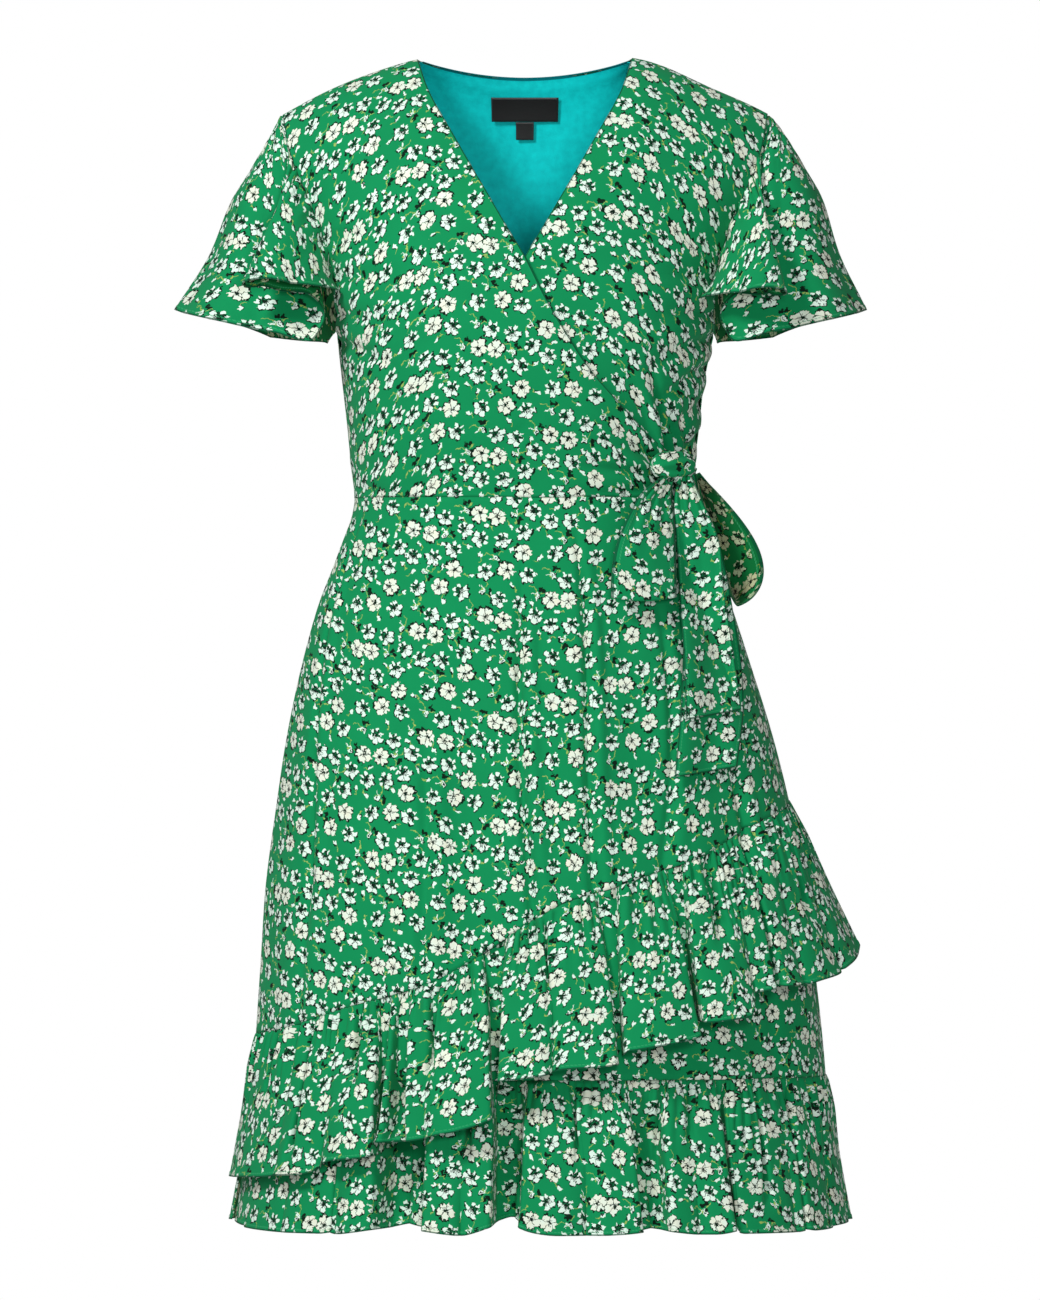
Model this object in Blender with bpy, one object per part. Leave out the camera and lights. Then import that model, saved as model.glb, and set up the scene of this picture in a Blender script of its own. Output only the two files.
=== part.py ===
"""A knee-length wrap dress with a V neck, flutter sleeves, a slanting front ruffle and a bow at the waist.

The dress keeps the hollow form that it has when worn. Metres, +Z up. The front faces -Y and +X is the
wearer's left. The origin lies between the two neck points of the shoulder seams, where the shoulders
carry the dress. Every panel is a sheet of points on one body form, and Solidify gives it its wall.

Angles go round the form from the wearer's right side seam (-90) by the front (0) to the left side
seam (90) and on by the back (180) to the right side seam again (270).
"""

import bpy
import numpy as np

CLOTH = 0.0012             # wall of every cloth panel
LAYER = 0.0026             # from one layer of cloth to the next one out
SEAM_GAP = 0.0005          # left open between two panels that a seam joins
WAIST_GAP = 0.0012         # the same at the waist seam
SLANT_GAP = 0.0012         # and on the slanting seam
SEAM_TURN = 0.06           # degrees that a panel stops short of a side seam
UNDERARM = -0.225          # heights below the neck points
WAIST = -0.355
NECK_HALF = 0.0867         # half the width between the neck points
SHOULDER_DROP = 0.045      # from the neck point down to the end of the shoulder
SHOULDER_HALF = 0.196      # half the width between the ends of the shoulders
BACK_NECK_DROP = 0.013
UNDERLAP_REACH = 0.75      # how far the underlapping front reaches past the middle at the waist
UNDERLAP_SINK = 0.0042     # how far it lies in from the overlapping front
UNDERLAP_BLEND = 0.18      # share of the half width over which it sinks below the overlapping front
UNDERLAP_TOP = 0.28        # bodice level of the point of the V, where the fronts begin to cross
LAYER_BLEND = 0.080        # height below the waist over which the skirt's layers change places
SQUARENESS = 2.2           # exponent of the oval sections
RUFFLE_SEAM = -0.822       # where the level ruffle joins the skirt
RUFFLE_DEPTH = 0.127
SHOULDER_CURVE = 1.25      # how late the shoulder line turns down: exponent over its length
FRONT_OVER = 0.55          # how the front rounds over to the shoulder: exponent over the rise
BACK_OVER = (0.18, 0.27, 1.5)          # the same at the back: in the middle, added at the side, its exponent
ARMHOLE_TUCK = (0.07, 0.35, 0.7)       # share of the width tucked in at the armhole, rise it takes, exponent
FLUTE_ROUND = 0.75         # exponent that makes the flutes' crests round and their valleys sharp
FLUTE_STEPS = 4            # columns of a ruffle's grid to each flute

# The form below the underarm: half widths at the wearer's right and left, depths at the front and back.
FORM = {
    "height": (-0.225, -0.260, -0.304, -0.330, -0.355, -0.401, -0.446, -0.486,
               -0.547, -0.607, -0.668, -0.729, -0.790, -0.960),
    "right": (0.151, 0.148, 0.143, 0.140, 0.137, 0.150, 0.166, 0.177,
              0.190, 0.199, 0.207, 0.211, 0.215, 0.224),
    "left": (0.151, 0.144, 0.139, 0.136, 0.135, 0.149, 0.165, 0.178,
             0.197, 0.212, 0.224, 0.233, 0.240, 0.250),
    "front": (0.122, 0.119, 0.111, 0.105, 0.100, 0.103, 0.111, 0.119,
              0.131, 0.140, 0.150, 0.158, 0.165, 0.180),
    "back": (0.098, 0.096, 0.091, 0.088, 0.086, 0.098, 0.111, 0.122,
             0.136, 0.146, 0.155, 0.163, 0.170, 0.184),
}
# Half the width between the armholes, by the share of the way up from the underarm to the shoulder.
ARMHOLE = {
    "rise": (0.0, 0.2, 0.4, 0.6, 0.8, 1.0),
    "half": (0.151, 0.154, 0.162, 0.176, 0.189, 0.196),
}
# The wrap edge of a front, by height, as a share of the half width: above 0 on its own side.
WRAP_EDGE = {
    "height": (-0.355, -0.340, -0.324, -0.304, -0.283, -0.250, -0.228, -0.198,
               -0.162, -0.135, -0.100, -0.058, -0.026, 0.0),
    "across": (-0.975, -0.940, -0.874, -0.710, -0.560, -0.345, -0.238, -0.118,
               0.000, 0.100, 0.212, 0.326, 0.405, 0.442),
}
# The seam of the slanting ruffle on the overlapping skirt front, by angle.
SLANT_SEAM = {
    "angle": (-90, -60, -40, -20, -5, 5, 20, 40, 60, 90),
    "height": (-0.790, -0.780, -0.763, -0.743, -0.711, -0.686, -0.666, -0.643, -0.616, -0.600),
}
# Free hem of a flutter sleeve from the front of the armhole over the arm to the back, for the left arm.
SLEEVE_HEM = {
    "turn": (0.0, 0.12, 0.25, 0.38, 0.50, 0.62, 0.75, 0.88, 1.0),
    "x": (0.168, 0.196, 0.238, 0.270, 0.283, 0.272, 0.240, 0.200, 0.162),
    "y": (-0.050, -0.080, -0.086, -0.056, 0.000, 0.054, 0.084, 0.082, 0.052),
    "z": (-0.189, -0.183, -0.180, -0.191, -0.203, -0.209, -0.217, -0.224, -0.229),
}
SLEEVE_START = 0.16        # rise on the armhole where the sleeve's front end is sewn
SLEEVE_END = 0.03          # and its back end
SLEEVE_LIFT = 0.13         # how far the sleeve arches, as a share of its length
SLEEVE_CLEAR = 0.0032      # from the armhole edge to the sleeve's seam edge
SLEEVE_GROWTH = 1.5        # exponent with which the sleeve's flutes grow from seam to hem

# Flutes: the valleys between them by angle, and how far each flute between two valleys stands out.
SLANT_FLUTES = {
    "valley": (-90, -64, -51, -41, -31, -20, -6, 4, 18, 32, 44, 58, 74, 90),
    "height": (0.007, 0.009, 0.008, 0.010, 0.011, 0.013, 0.010, 0.014, 0.013, 0.011, 0.013, 0.010, 0.006),
}
LEVEL_FLUTES = {
    "valley": (-90, -58, -34, -22, -2, 13, 28, 42, 58, 74, 90,
               108, 126, 142, 160, 176, 194, 210, 228, 246, 270),
    "height": (0.008, 0.010, 0.003, 0.014, 0.013, 0.010, 0.013, 0.008, 0.010, 0.008,
               0.010, 0.013, 0.010, 0.014, 0.011, 0.014, 0.010, 0.013, 0.011, 0.009),
}
# Deep folds of the level ruffle that go back in under the skirt: angle, half width in degrees, depth.
DEEP_FOLDS = {
    "angle": (-28.0, -2.5, 150.0, 205.0),
    "half": (6.5, 4.5, 6.0, 6.5),
    "depth": (0.022, 0.030, 0.020, 0.024),
}
SLEEVE_FLUTES = {
    "valley": (0.0, 0.16, 0.36, 0.52, 0.68, 0.84, 1.0),
    "height": (0.004, 0.012, 0.008, 0.008, 0.012, 0.006),
}
SLANT_DEPTHS = (0.118, 0.140)          # of the slanting ruffle, straight down: at its right end, further on
SLANT_DEEPER = (-90, -20)              # angles between which it gets deeper
SLANT_FLARE = 0.013        # how far the slanting ruffle stands out at its hem
SLANT_END_FLARE = 0.022    # added towards its free corner at the left side
SLANT_END_ANGLES = (55, 90)            # where that starts and where it is complete
LEVEL_FLARE = 0.008
FLARE_GROWTH = 1.2         # exponents with which flare, flutes and folds grow from seam to hem
FLUTE_GROWTH = 1.3
LEVEL_GROWTH = 2.0

# The bow. Edges are given across the front (x) by height, and clearance is out from the skirt.
BOW_HEIGHT = -0.337
KNOT_PLACE = (0.128, -0.074, BOW_HEIGHT)
KNOT_SIZE = (0.020, 0.011, 0.0125)
KNOT_TURN = 45             # degrees that it faces round to the left side
BAND_ANGLES = (60, 89)     # the short band from the knot to the side seam
BAND_WIDTH = 0.011
BAND_CLEAR = 0.0065
LOOP_CLEAR = (0.0220, 0.0045)          # the front loop out from the skirt: its middle, each layer from there
LOOP_FOLD = 1.2            # exponent of the turn at its foot
TAIL_CLEARS = (0.0140, 0.0095)         # the front tail and the back tail
FRONT_LOOP = {
    "height": (-0.436, -0.412, -0.389, -0.365, -0.352),
    "inner": (0.0600, 0.0690, 0.0740, 0.0830, 0.0980),
    "outer": (0.1205, 0.1205, 0.1205, 0.1180, 0.1130),
}
FRONT_TAIL = {
    "height": (-0.528, -0.490, -0.430, -0.390, -0.352),
    "inner": (0.1290, 0.1280, 0.1240, 0.1220, 0.1210),
    "outer": (0.1720, 0.1690, 0.1600, 0.1540, 0.1380),
    "depth": (0.074, 0.074, 0.075, 0.076, 0.078),
}
BACK_TAIL = {
    "height": (-0.574, -0.520, -0.450, -0.400, -0.358),
    "inner": (0.1200, 0.1250, 0.1270, 0.1250, 0.1240),
    "outer": (0.1680, 0.1740, 0.1660, 0.1560, 0.1400),
    "depth": (0.066, 0.066, 0.066, 0.067, 0.068),
}
SIDE_LOOP_ROOT = (0.140, -0.340)       # x and z where the side loop leaves the knot
SIDE_LOOP_TIP = (0.172, -0.442)        # its lowest point
SIDE_LOOP_BULGE = (0.029, 0.004)       # outwards and inwards from the line between them
SIDE_LOOP_DEPTHS = (0.058, 0.024)      # how far forward its front and back edges are
SIDE_LOOP_BACK = 0.80                  # size of the back edge against the front one
SIDE_LOOP_ENDS = 0.05                  # share of the side loop inside the knot at each end

# Woven labels inside the back of the neck: half width, and heights of the top and the foot.
LABELS = {
    "label_neck": (0.0285, -0.026, -0.046),
    "label_size": (0.0078, -0.0465, -0.061),
}
LABEL_WALL = 0.0008

GREEN = (0.01, 0.27, 0.10)
TEAL = (0.003, 0.33, 0.33)
BLACK = (0.01, 0.01, 0.012)


def smooth(table, key, column, at):
    """Reads a column of a table at the given keys, along one smooth curve through its rows."""
    keys = np.asarray(table[key], float)
    values = np.asarray(table[column], float)
    if keys[0] > keys[-1]:
        keys, values = keys[::-1], values[::-1]
    slopes = np.gradient(values, keys)
    at = np.clip(np.asarray(at, float), keys[0], keys[-1])
    row = np.clip(np.searchsorted(keys, at) - 1, 0, len(keys) - 2)
    span = keys[row + 1] - keys[row]
    s = (at - keys[row]) / span
    return (values[row] * (1 + 2 * s) * (1 - s) ** 2 + values[row + 1] * s * s * (3 - 2 * s)
            + span * (slopes[row] * s * (1 - s) ** 2 - slopes[row + 1] * s * s * (1 - s)))


def points(x, y, z):
    """A grid of points from three coordinates that spread over it."""
    return np.stack(np.broadcast_arrays(x, y, z), -1)


def half_width(across, height):
    """Half width of the form below the underarm, on the side that across points to."""
    right = smooth(FORM, "height", "right", height)
    left = smooth(FORM, "height", "left", height)
    return np.where(across < 0, right, left)


def oval(across, tuck=1.0):
    """Depth of the oval section at a share of its half width, from 1 in the middle to 0 at the side."""
    return (1 - np.minimum(np.abs(across) * tuck, 1.0) ** SQUARENESS) ** (1 / SQUARENESS)


def body(angle, height):
    """Points of the form below the underarm, by angle in degrees and height."""
    turn = np.radians(angle)
    across = np.sin(turn)
    front = np.cos(turn) > 0
    depth = np.where(front, -smooth(FORM, "height", "front", height), smooth(FORM, "height", "back", height))
    return points(half_width(across, height) * across, depth * oval(across), height)


def shoulder_line(x):
    """Height of the shoulder seam at a distance from the middle."""
    out = np.clip((np.abs(x) - NECK_HALF) / (SHOULDER_HALF - NECK_HALF), 0, 1)
    return -SHOULDER_DROP * out ** SHOULDER_CURVE


def bodice(across, level, back):
    """Points of the bodice. Level runs from -1 at the waist by 0 at the underarm to 1 at the shoulder."""
    below = np.minimum(level, 0.0)
    rise = np.maximum(level, 0.0)
    height = UNDERARM + below * (UNDERARM - WAIST)
    width = np.where(level < 0, half_width(across, height), smooth(ARMHOLE, "rise", "half", rise))
    x = width * across
    tuck = 1 - ARMHOLE_TUCK[0] * np.clip(rise / ARMHOLE_TUCK[1], 0, 1) ** ARMHOLE_TUCK[2]
    outwards = 1.0 if back else -1.0
    exponent = BACK_OVER[0] + BACK_OVER[1] * np.abs(across) ** BACK_OVER[2] if back else FRONT_OVER
    over = np.sin(np.pi / 2 * (1 - rise)) ** exponent
    deep = smooth(FORM, "height", "back" if back else "front", height) * oval(across, tuck) * over
    y = outwards * (deep + np.where(rise > 0, SEAM_GAP / 2, 0.0))
    return points(x, y, height + rise * (shoulder_line(x) - UNDERARM))


def level_height(level):
    """Height of a bodice level near the middle, where the shoulder line is level."""
    return np.where(level < 0, UNDERARM + level * (UNDERARM - WAIST), UNDERARM * (1 - level))


def normals(grid):
    """Unit normals of a grid of points, from the directions along its rows and its columns."""
    along = np.gradient(grid, axis=1)
    down = np.gradient(grid, axis=0)
    out = np.cross(down, along)
    return out / np.maximum(np.linalg.norm(out, axis=-1, keepdims=True), 1e-12)


def moved_out(grid, distance):
    """The same grid, moved out along its normals."""
    return grid + normals(grid) * np.broadcast_to(distance, grid.shape[:2])[..., None]


def flute_columns(table, start, end):
    """Places of a grid's columns between two places of a ruffle: every valley, and evenly between them."""
    valleys = np.asarray(table["valley"], float)
    steps = FLUTE_STEPS * (len(valleys) - 1)
    places = np.interp(np.linspace(0, len(valleys) - 1, steps + 1), np.arange(len(valleys)), valleys)
    inner = places[(places > start) & (places < end)]
    return np.concatenate([[start], inner, [end]])


def flutes(table, at):
    """How far a ruffle stands out: one rounded flute between each two valleys of the table."""
    valleys = np.asarray(table["valley"], float)
    gap = np.clip(np.searchsorted(valleys, at, side="right") - 1, 0, len(valleys) - 2)
    share = (at - valleys[gap]) / (valleys[gap + 1] - valleys[gap])
    return np.asarray(table["height"])[gap] * np.sin(np.pi * np.clip(share, 0, 1)) ** FLUTE_ROUND


def material(name, colour, roughness=0.75):
    """A plain cloth material."""
    made = bpy.data.materials.new(name)
    made.use_nodes = True
    shader = made.node_tree.nodes["Principled BSDF"]
    shader.inputs["Base Color"].default_value = (*colour, 1.0)
    shader.inputs["Roughness"].default_value = roughness
    shader.inputs["Metallic"].default_value = 0.0
    return made


def panel(name, grid, finish, wall=CLOTH):
    """A cloth panel: a grid of points as one sheet, with a wall added on its outer side."""
    rows, columns = grid.shape[:2]
    index = np.arange(rows * columns).reshape(rows, columns)
    faces = np.stack([index[:-1, :-1], index[1:, :-1], index[1:, 1:], index[:-1, 1:]], -1).reshape(-1, 4)
    mesh = bpy.data.meshes.new(name)
    mesh.from_pydata(grid.reshape(-1, 3).tolist(), [], faces.tolist())
    mesh.shade_smooth()
    piece = bpy.data.objects.new(name, mesh)
    bpy.context.scene.collection.objects.link(piece)
    mesh.materials.append(finish)
    thick = piece.modifiers.new("wall", "SOLIDIFY")
    thick.thickness = wall
    thick.offset = 1.0
    return piece


def out_of(grid, height):
    """Level directions that point straight out of the form at the points of a skirt grid."""
    across = grid[..., 0] / half_width(grid[..., 0], height)
    deep = np.where(grid[..., 1] > 0, smooth(FORM, "height", "back", height),
                    smooth(FORM, "height", "front", height))
    x = np.sign(across) * np.abs(across) ** (SQUARENESS - 1) / half_width(across, height)
    y = np.sign(grid[..., 1]) * np.abs(grid[..., 1] / deep) ** (SQUARENESS - 1) / deep
    away = points(x, y, 0 * x)
    return away / np.linalg.norm(away, axis=-1, keepdims=True)


def stood_out(grid, distance):
    """A skirt grid moved level and straight out of the form."""
    return grid + out_of(grid, grid[..., 2]) * np.broadcast_to(distance, grid.shape[:2])[..., None]


def bodice_levels(rows):
    """Levels from the shoulder down to the waist, closer together where the shoulder rounds over."""
    below = rows // 2
    up = np.sin(np.linspace(np.pi / 2, 0, rows - below))
    down = -np.linspace(0, 1, below + 1)[1:]
    return np.concatenate([up, down])[:, None]


def wrap_edge(level):
    """Share of the half width at which a front's wrap edge crosses a level, above 0 on its own side."""
    return smooth(WRAP_EDGE, "height", "across", level_height(level))


def bodice_front(side, columns, rows, reach):
    """One bodice front, from its side seam and armhole to the wrap edge, and no further than reach.

    Side -1 is the wearer's right, and reach is a share of the half width on the other side.
    """
    levels = bodice_levels(rows)
    share = np.linspace(0, 1, columns)[None, :]
    seam_angle = 90 - SEAM_TURN
    edge_angle = np.degrees(np.arcsin(np.maximum(wrap_edge(levels), -reach)))
    edge_angle = np.clip(edge_angle, -seam_angle, seam_angle)
    angle = side * (seam_angle + (edge_angle - seam_angle) * share)
    if side > 0:
        angle = angle[:, ::-1]
    return bodice(np.sin(np.radians(angle)), levels + 0 * angle, False)


def sunk_underlap(grid):
    """The underlapping bodice front, sunk one layer in where the overlapping front covers it."""
    levels = bodice_levels(len(grid))
    width = np.where(levels < 0, half_width(grid[..., 0], level_height(levels)), SHOULDER_HALF)
    covered = (-wrap_edge(levels) - grid[..., 0] / width) / UNDERLAP_BLEND + 2
    return moved_out(grid, -UNDERLAP_SINK * np.clip(covered, 0, 1) * (levels < UNDERLAP_TOP))


def back_neck(across):
    """Rise to which the bodice back reaches: the shoulder seam, and lower in the hollow of the neck."""
    neck = NECK_HALF / SHOULDER_HALF
    return 1 - BACK_NECK_DROP / -UNDERARM * np.clip(1 - (across / neck) ** 2, 0, 1)


def bodice_back(columns, rows):
    """The bodice back from side seam to side seam, up to the shoulder seams and the neck."""
    angle = np.linspace(90 - SEAM_TURN, -90 + SEAM_TURN, columns)[None, :]
    across = np.sin(np.radians(angle))
    levels = bodice_levels(rows)
    reach = np.where(levels > 0, levels * back_neck(across), levels)
    return bodice(across + 0 * levels, reach, True)


def slant_seam(angle):
    """Height of the slanting ruffle's seam at an angle."""
    return smooth(SLANT_SEAM, "angle", "height", angle)


def level_seam(angle):
    """Height of the level ruffle's seam, the same at every angle."""
    return np.full_like(angle, RUFFLE_SEAM)


def skirt(start, end, columns, rows, bottom):
    """A skirt panel between two angles, from the waist seam down to a bottom edge given by angle."""
    angle = np.linspace(start, end, columns)[None, :]
    share = np.linspace(0, 1, rows)[:, None]
    top = WAIST - WAIST_GAP
    return body(angle + 0 * share, top + share * (bottom(angle) - top))


def layered(grid, layer):
    """A skirt front as layer 1 (over) or 0 (under): the two lie in and below the form at the waist."""
    share = np.clip((WAIST - grid[..., 2]) / LAYER_BLEND, 0, 1)
    return stood_out(grid, LAYER * (layer - 1 + share))


def slant_ruffle(rows):
    """The slanting ruffle below the overlapping front, flaring most at its corner on the left side."""
    angle = flute_columns(SLANT_FLUTES, -90 + SEAM_TURN, 90 - SEAM_TURN)[None, :]
    down = np.linspace(0, 1, rows)[:, None]
    base = body(angle + 0 * down, slant_seam(angle) - SLANT_GAP - down * slant_depth(angle))
    end = share_between(SLANT_END_ANGLES, angle) ** 2
    out = LAYER + (SLANT_FLARE + SLANT_END_FLARE * end) * down ** FLARE_GROWTH
    return stood_out(base, out + flutes(SLANT_FLUTES, angle) * down ** FLUTE_GROWTH)


def share_between(limits, at):
    """Share of the way from the first limit to the second, held at 0 and 1 outside them."""
    return np.clip((at - limits[0]) / (limits[1] - limits[0]), 0, 1)


def slant_depth(angle):
    """Depth of the slanting ruffle, measured straight down."""
    return SLANT_DEPTHS[0] + (SLANT_DEPTHS[1] - SLANT_DEPTHS[0]) * share_between(SLANT_DEEPER, angle)


def deep_folds(angle):
    """How far the deep folds of the level ruffle go in, by angle: one smooth hollow for each row."""
    place = np.asarray(DEEP_FOLDS["angle"])[:, None, None]
    half = np.asarray(DEEP_FOLDS["half"])[:, None, None]
    depth = np.asarray(DEEP_FOLDS["depth"])[:, None, None]
    off = np.clip((angle - place) / half, -1, 1)
    return (depth * np.cos(np.pi / 2 * off) ** 2).sum(0)


def level_ruffle(start, end, rows):
    """Part of the level ruffle at the foot of the skirt, between two angles."""
    angle = flute_columns(LEVEL_FLUTES, start, end)[None, :]
    down = np.linspace(0, 1, rows)[:, None]
    base = body(angle + 0 * down, RUFFLE_SEAM - SEAM_GAP - down * RUFFLE_DEPTH)
    out = flutes(LEVEL_FLUTES, angle) * down ** LEVEL_GROWTH - deep_folds(angle) * down ** FLUTE_GROWTH
    return stood_out(base, LEVEL_FLARE * down + out)


def armhole(turn, side):
    """The armhole seam from the front of the armhole (turn 0) over the shoulder (0.5) to the back (1)."""
    front_rise = SLEEVE_START + (1 - SLEEVE_START) * np.sin(np.pi * np.minimum(turn, 0.5))
    back_rise = SLEEVE_END + (1 - SLEEVE_END) * np.sin(np.pi * np.maximum(turn, 0.5))
    whole = np.full_like(turn, float(side))
    return np.where((turn < 0.5)[..., None], bodice(whole, front_rise, False), bodice(whole, back_rise, True))


def sleeve(side, columns, rows):
    """A flutter sleeve: arched lines from the armhole seam to the free hem, with growing flutes."""
    turn = np.linspace(0, 1, columns)
    seam = armhole(turn, side)
    hem = np.stack([smooth(SLEEVE_HEM, "turn", axis, turn) for axis in "xyz"], -1)
    hem[:, 0] *= side
    length = np.linalg.norm(hem - seam, axis=-1, keepdims=True)
    seam = seam + (hem - seam) / length * SLEEVE_CLEAR
    arch = (seam + hem) / 2 + np.array([0, 0, SLEEVE_LIFT]) * length
    down = np.linspace(0, 1, rows)[:, None, None]
    base = (1 - down) ** 2 * seam + 2 * down * (1 - down) * arch + down ** 2 * hem
    if side < 0:
        base = base[:, ::-1]
        turn = turn[::-1]
    out = flutes(SLEEVE_FLUTES, turn)[None, :] * down[..., 0] ** SLEEVE_GROWTH
    return moved_out(base, out)


def skirt_depth(x, height):
    """How far forward of the middle plane the form reaches at a distance across and a height."""
    across = x / half_width(x, height)
    return smooth(FORM, "height", "front", height) * oval(across)


def loop_front(columns, rows):
    """The bow's front loop: a band that hangs over the skirt, turns at its foot and goes back up."""
    along = np.linspace(0, 1, rows)[:, None]
    share = np.linspace(0, 1, columns)[None, :]
    top, foot = FRONT_LOOP["height"][-1], FRONT_LOOP["height"][0]
    height = foot + (top - foot) * np.abs(np.cos(np.pi * along)) ** LOOP_FOLD
    inner = smooth(FRONT_LOOP, "height", "inner", height)
    outer = smooth(FRONT_LOOP, "height", "outer", height)
    x = inner + (outer - inner) * share
    height = height + 0 * x
    clearance = LOOP_CLEAR[0] + LOOP_CLEAR[1] * np.cos(np.pi * along)
    return points(x, -skirt_depth(x, height) - clearance, height)


def loop_side(columns, rows):
    """The bow's side loop: a drop-shaped band beyond the side of the waist, narrower at its back edge."""
    along = np.linspace(SIDE_LOOP_ENDS, 1 - SIDE_LOOP_ENDS, rows)[:, None]
    share = np.linspace(0, 1, columns)[None, :]
    root, tip = np.array(SIDE_LOOP_ROOT), np.array(SIDE_LOOP_TIP)
    line = tip - root
    length = np.linalg.norm(line)
    outwards = np.array([-line[1], line[0]]) / length
    swing = np.sin(2 * np.pi * along)
    bulge = np.where(swing > 0, SIDE_LOOP_BULGE[0], SIDE_LOOP_BULGE[1]) * swing
    size = 1 + (SIDE_LOOP_BACK - 1) * share
    x = root[0] + size * (line[0] * np.sin(np.pi * along) + outwards[0] * bulge)
    z = root[1] + size * (line[1] * np.sin(np.pi * along) + outwards[1] * bulge)
    depth = SIDE_LOOP_DEPTHS[0] + (SIDE_LOOP_DEPTHS[1] - SIDE_LOOP_DEPTHS[0]) * share
    return points(x, -depth, z)


def tail(table, columns, rows, clearance):
    """A free end of the tie, hanging from the knot and lying on the skirt where it reaches it."""
    height = np.linspace(table["height"][-1], table["height"][0], rows)[:, None]
    share = np.linspace(0, 1, columns)[None, :]
    inner = smooth(table, "height", "inner", height)
    outer = smooth(table, "height", "outer", height)
    x = inner + (outer - inner) * share
    height = height + 0 * x
    own = smooth(table, "height", "depth", height)
    return points(x, -np.maximum(own, skirt_depth(x, height) + clearance), height)


def band(columns, rows):
    """The short stretch of the tie from the knot round to the side seam."""
    angle = np.linspace(*BAND_ANGLES, columns)[None, :]
    height = BOW_HEIGHT + BAND_WIDTH * np.linspace(0.5, -0.5, rows)[:, None]
    return stood_out(body(angle, height), BAND_CLEAR)


def knot(finish):
    """The tie's knot, a small flattened ball."""
    bpy.ops.mesh.primitive_uv_sphere_add(segments=14, ring_count=8, radius=1.0)
    piece = bpy.context.object
    piece.name = "tie_knot"
    piece.data.name = "tie_knot"
    piece.scale = KNOT_SIZE
    piece.location = KNOT_PLACE
    piece.rotation_euler = (0.0, 0.0, np.radians(KNOT_TURN))
    piece.data.shade_smooth()
    piece.data.materials.append(finish)
    return piece


def label(name, finish):
    """A small woven label on the inside of the back, two layers in from the back's own form."""
    half, top, foot = LABELS[name]
    across = np.linspace(half, -half, 5)[None, :] / SHOULDER_HALF
    height = np.linspace(top, foot, 3)[:, None]
    rise = 1 - height / UNDERARM
    inside = bodice(across + 0 * rise, rise + 0 * across, True)
    return panel(name, moved_out(inside, -2 * LAYER), finish, LABEL_WALL)


def clear_scene():
    """Removes whatever is in the scene at the start."""
    for old in list(bpy.data.objects):
        bpy.data.objects.remove(old)


def main():
    """Builds every panel of the dress, and its tie."""
    clear_scene()
    printed = material("printed_crepe", GREEN)
    lining = material("teal_lining", TEAL)
    woven = material("black_label", BLACK, 0.5)

    panel("bodice_front_overlap", bodice_front(-1, 16, 14, 1.0), printed)
    panel("bodice_front_underlap", sunk_underlap(bodice_front(1, 16, 14, UNDERLAP_REACH)), printed)
    back = bodice_back(18, 13)
    panel("bodice_back", back, printed)
    panel("bodice_back_lining", moved_out(back, -LAYER)[:-1, 1:-1], lining)
    label("label_neck", woven)
    label("label_size", woven)

    panel("sleeve_right", sleeve(-1, 17, 6), printed)
    panel("sleeve_left", sleeve(1, 17, 6), printed)

    edge = 90 - SEAM_TURN
    panel("skirt_front_overlap", layered(skirt(-edge, edge, 25, 8, slant_seam), 1), printed)
    panel("skirt_front_underlap", layered(skirt(-edge, edge, 25, 8, level_seam), 0), printed)
    panel("skirt_back", skirt(180 - edge, 180 + edge, 25, 8, level_seam), printed)
    panel("ruffle_front_overlap", slant_ruffle(4), printed)
    panel("ruffle_front_underlap", level_ruffle(-edge, edge, 4), printed)
    panel("ruffle_back", level_ruffle(180 - edge, 180 + edge, 4), printed)

    knot(printed)
    panel("tie_band", band(6, 3), printed)
    panel("tie_loop_front", loop_front(5, 13), printed)
    panel("tie_loop_side", loop_side(4, 13), printed)
    panel("tie_tail_front", tail(FRONT_TAIL, 4, 8, TAIL_CLEARS[0]), printed)
    panel("tie_tail_back", tail(BACK_TAIL, 4, 8, TAIL_CLEARS[1]), printed)


main()
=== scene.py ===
"""The looks of a knee-length wrap dress in green flower-printed crepe.

Every piece of cloth is a sheet of points on the dress's own form, worked out as whole arrays: rows run down
the cloth and columns run from left to right as seen from outside. Metres, +Z up, the front faces -Y.
Angles go round the form from the wearer's right side seam (-90) by the front (0) to the left side seam (90).
"""

import math

import bpy
import numpy as np
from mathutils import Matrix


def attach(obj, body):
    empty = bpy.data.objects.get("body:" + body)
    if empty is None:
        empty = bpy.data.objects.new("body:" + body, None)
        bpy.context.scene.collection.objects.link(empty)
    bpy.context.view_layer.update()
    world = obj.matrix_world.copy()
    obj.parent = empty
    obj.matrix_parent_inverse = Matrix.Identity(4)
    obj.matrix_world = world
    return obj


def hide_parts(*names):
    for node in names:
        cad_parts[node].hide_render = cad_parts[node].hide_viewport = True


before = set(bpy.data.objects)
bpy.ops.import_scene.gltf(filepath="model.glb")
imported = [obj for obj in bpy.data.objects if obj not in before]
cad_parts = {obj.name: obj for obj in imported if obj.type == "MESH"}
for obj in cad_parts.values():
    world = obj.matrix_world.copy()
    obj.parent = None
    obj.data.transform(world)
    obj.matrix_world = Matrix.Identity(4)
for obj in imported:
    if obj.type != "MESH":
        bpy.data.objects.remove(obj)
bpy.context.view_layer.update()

# ---- Sizes and form of the dress ------------------------------------------------------------------

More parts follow.
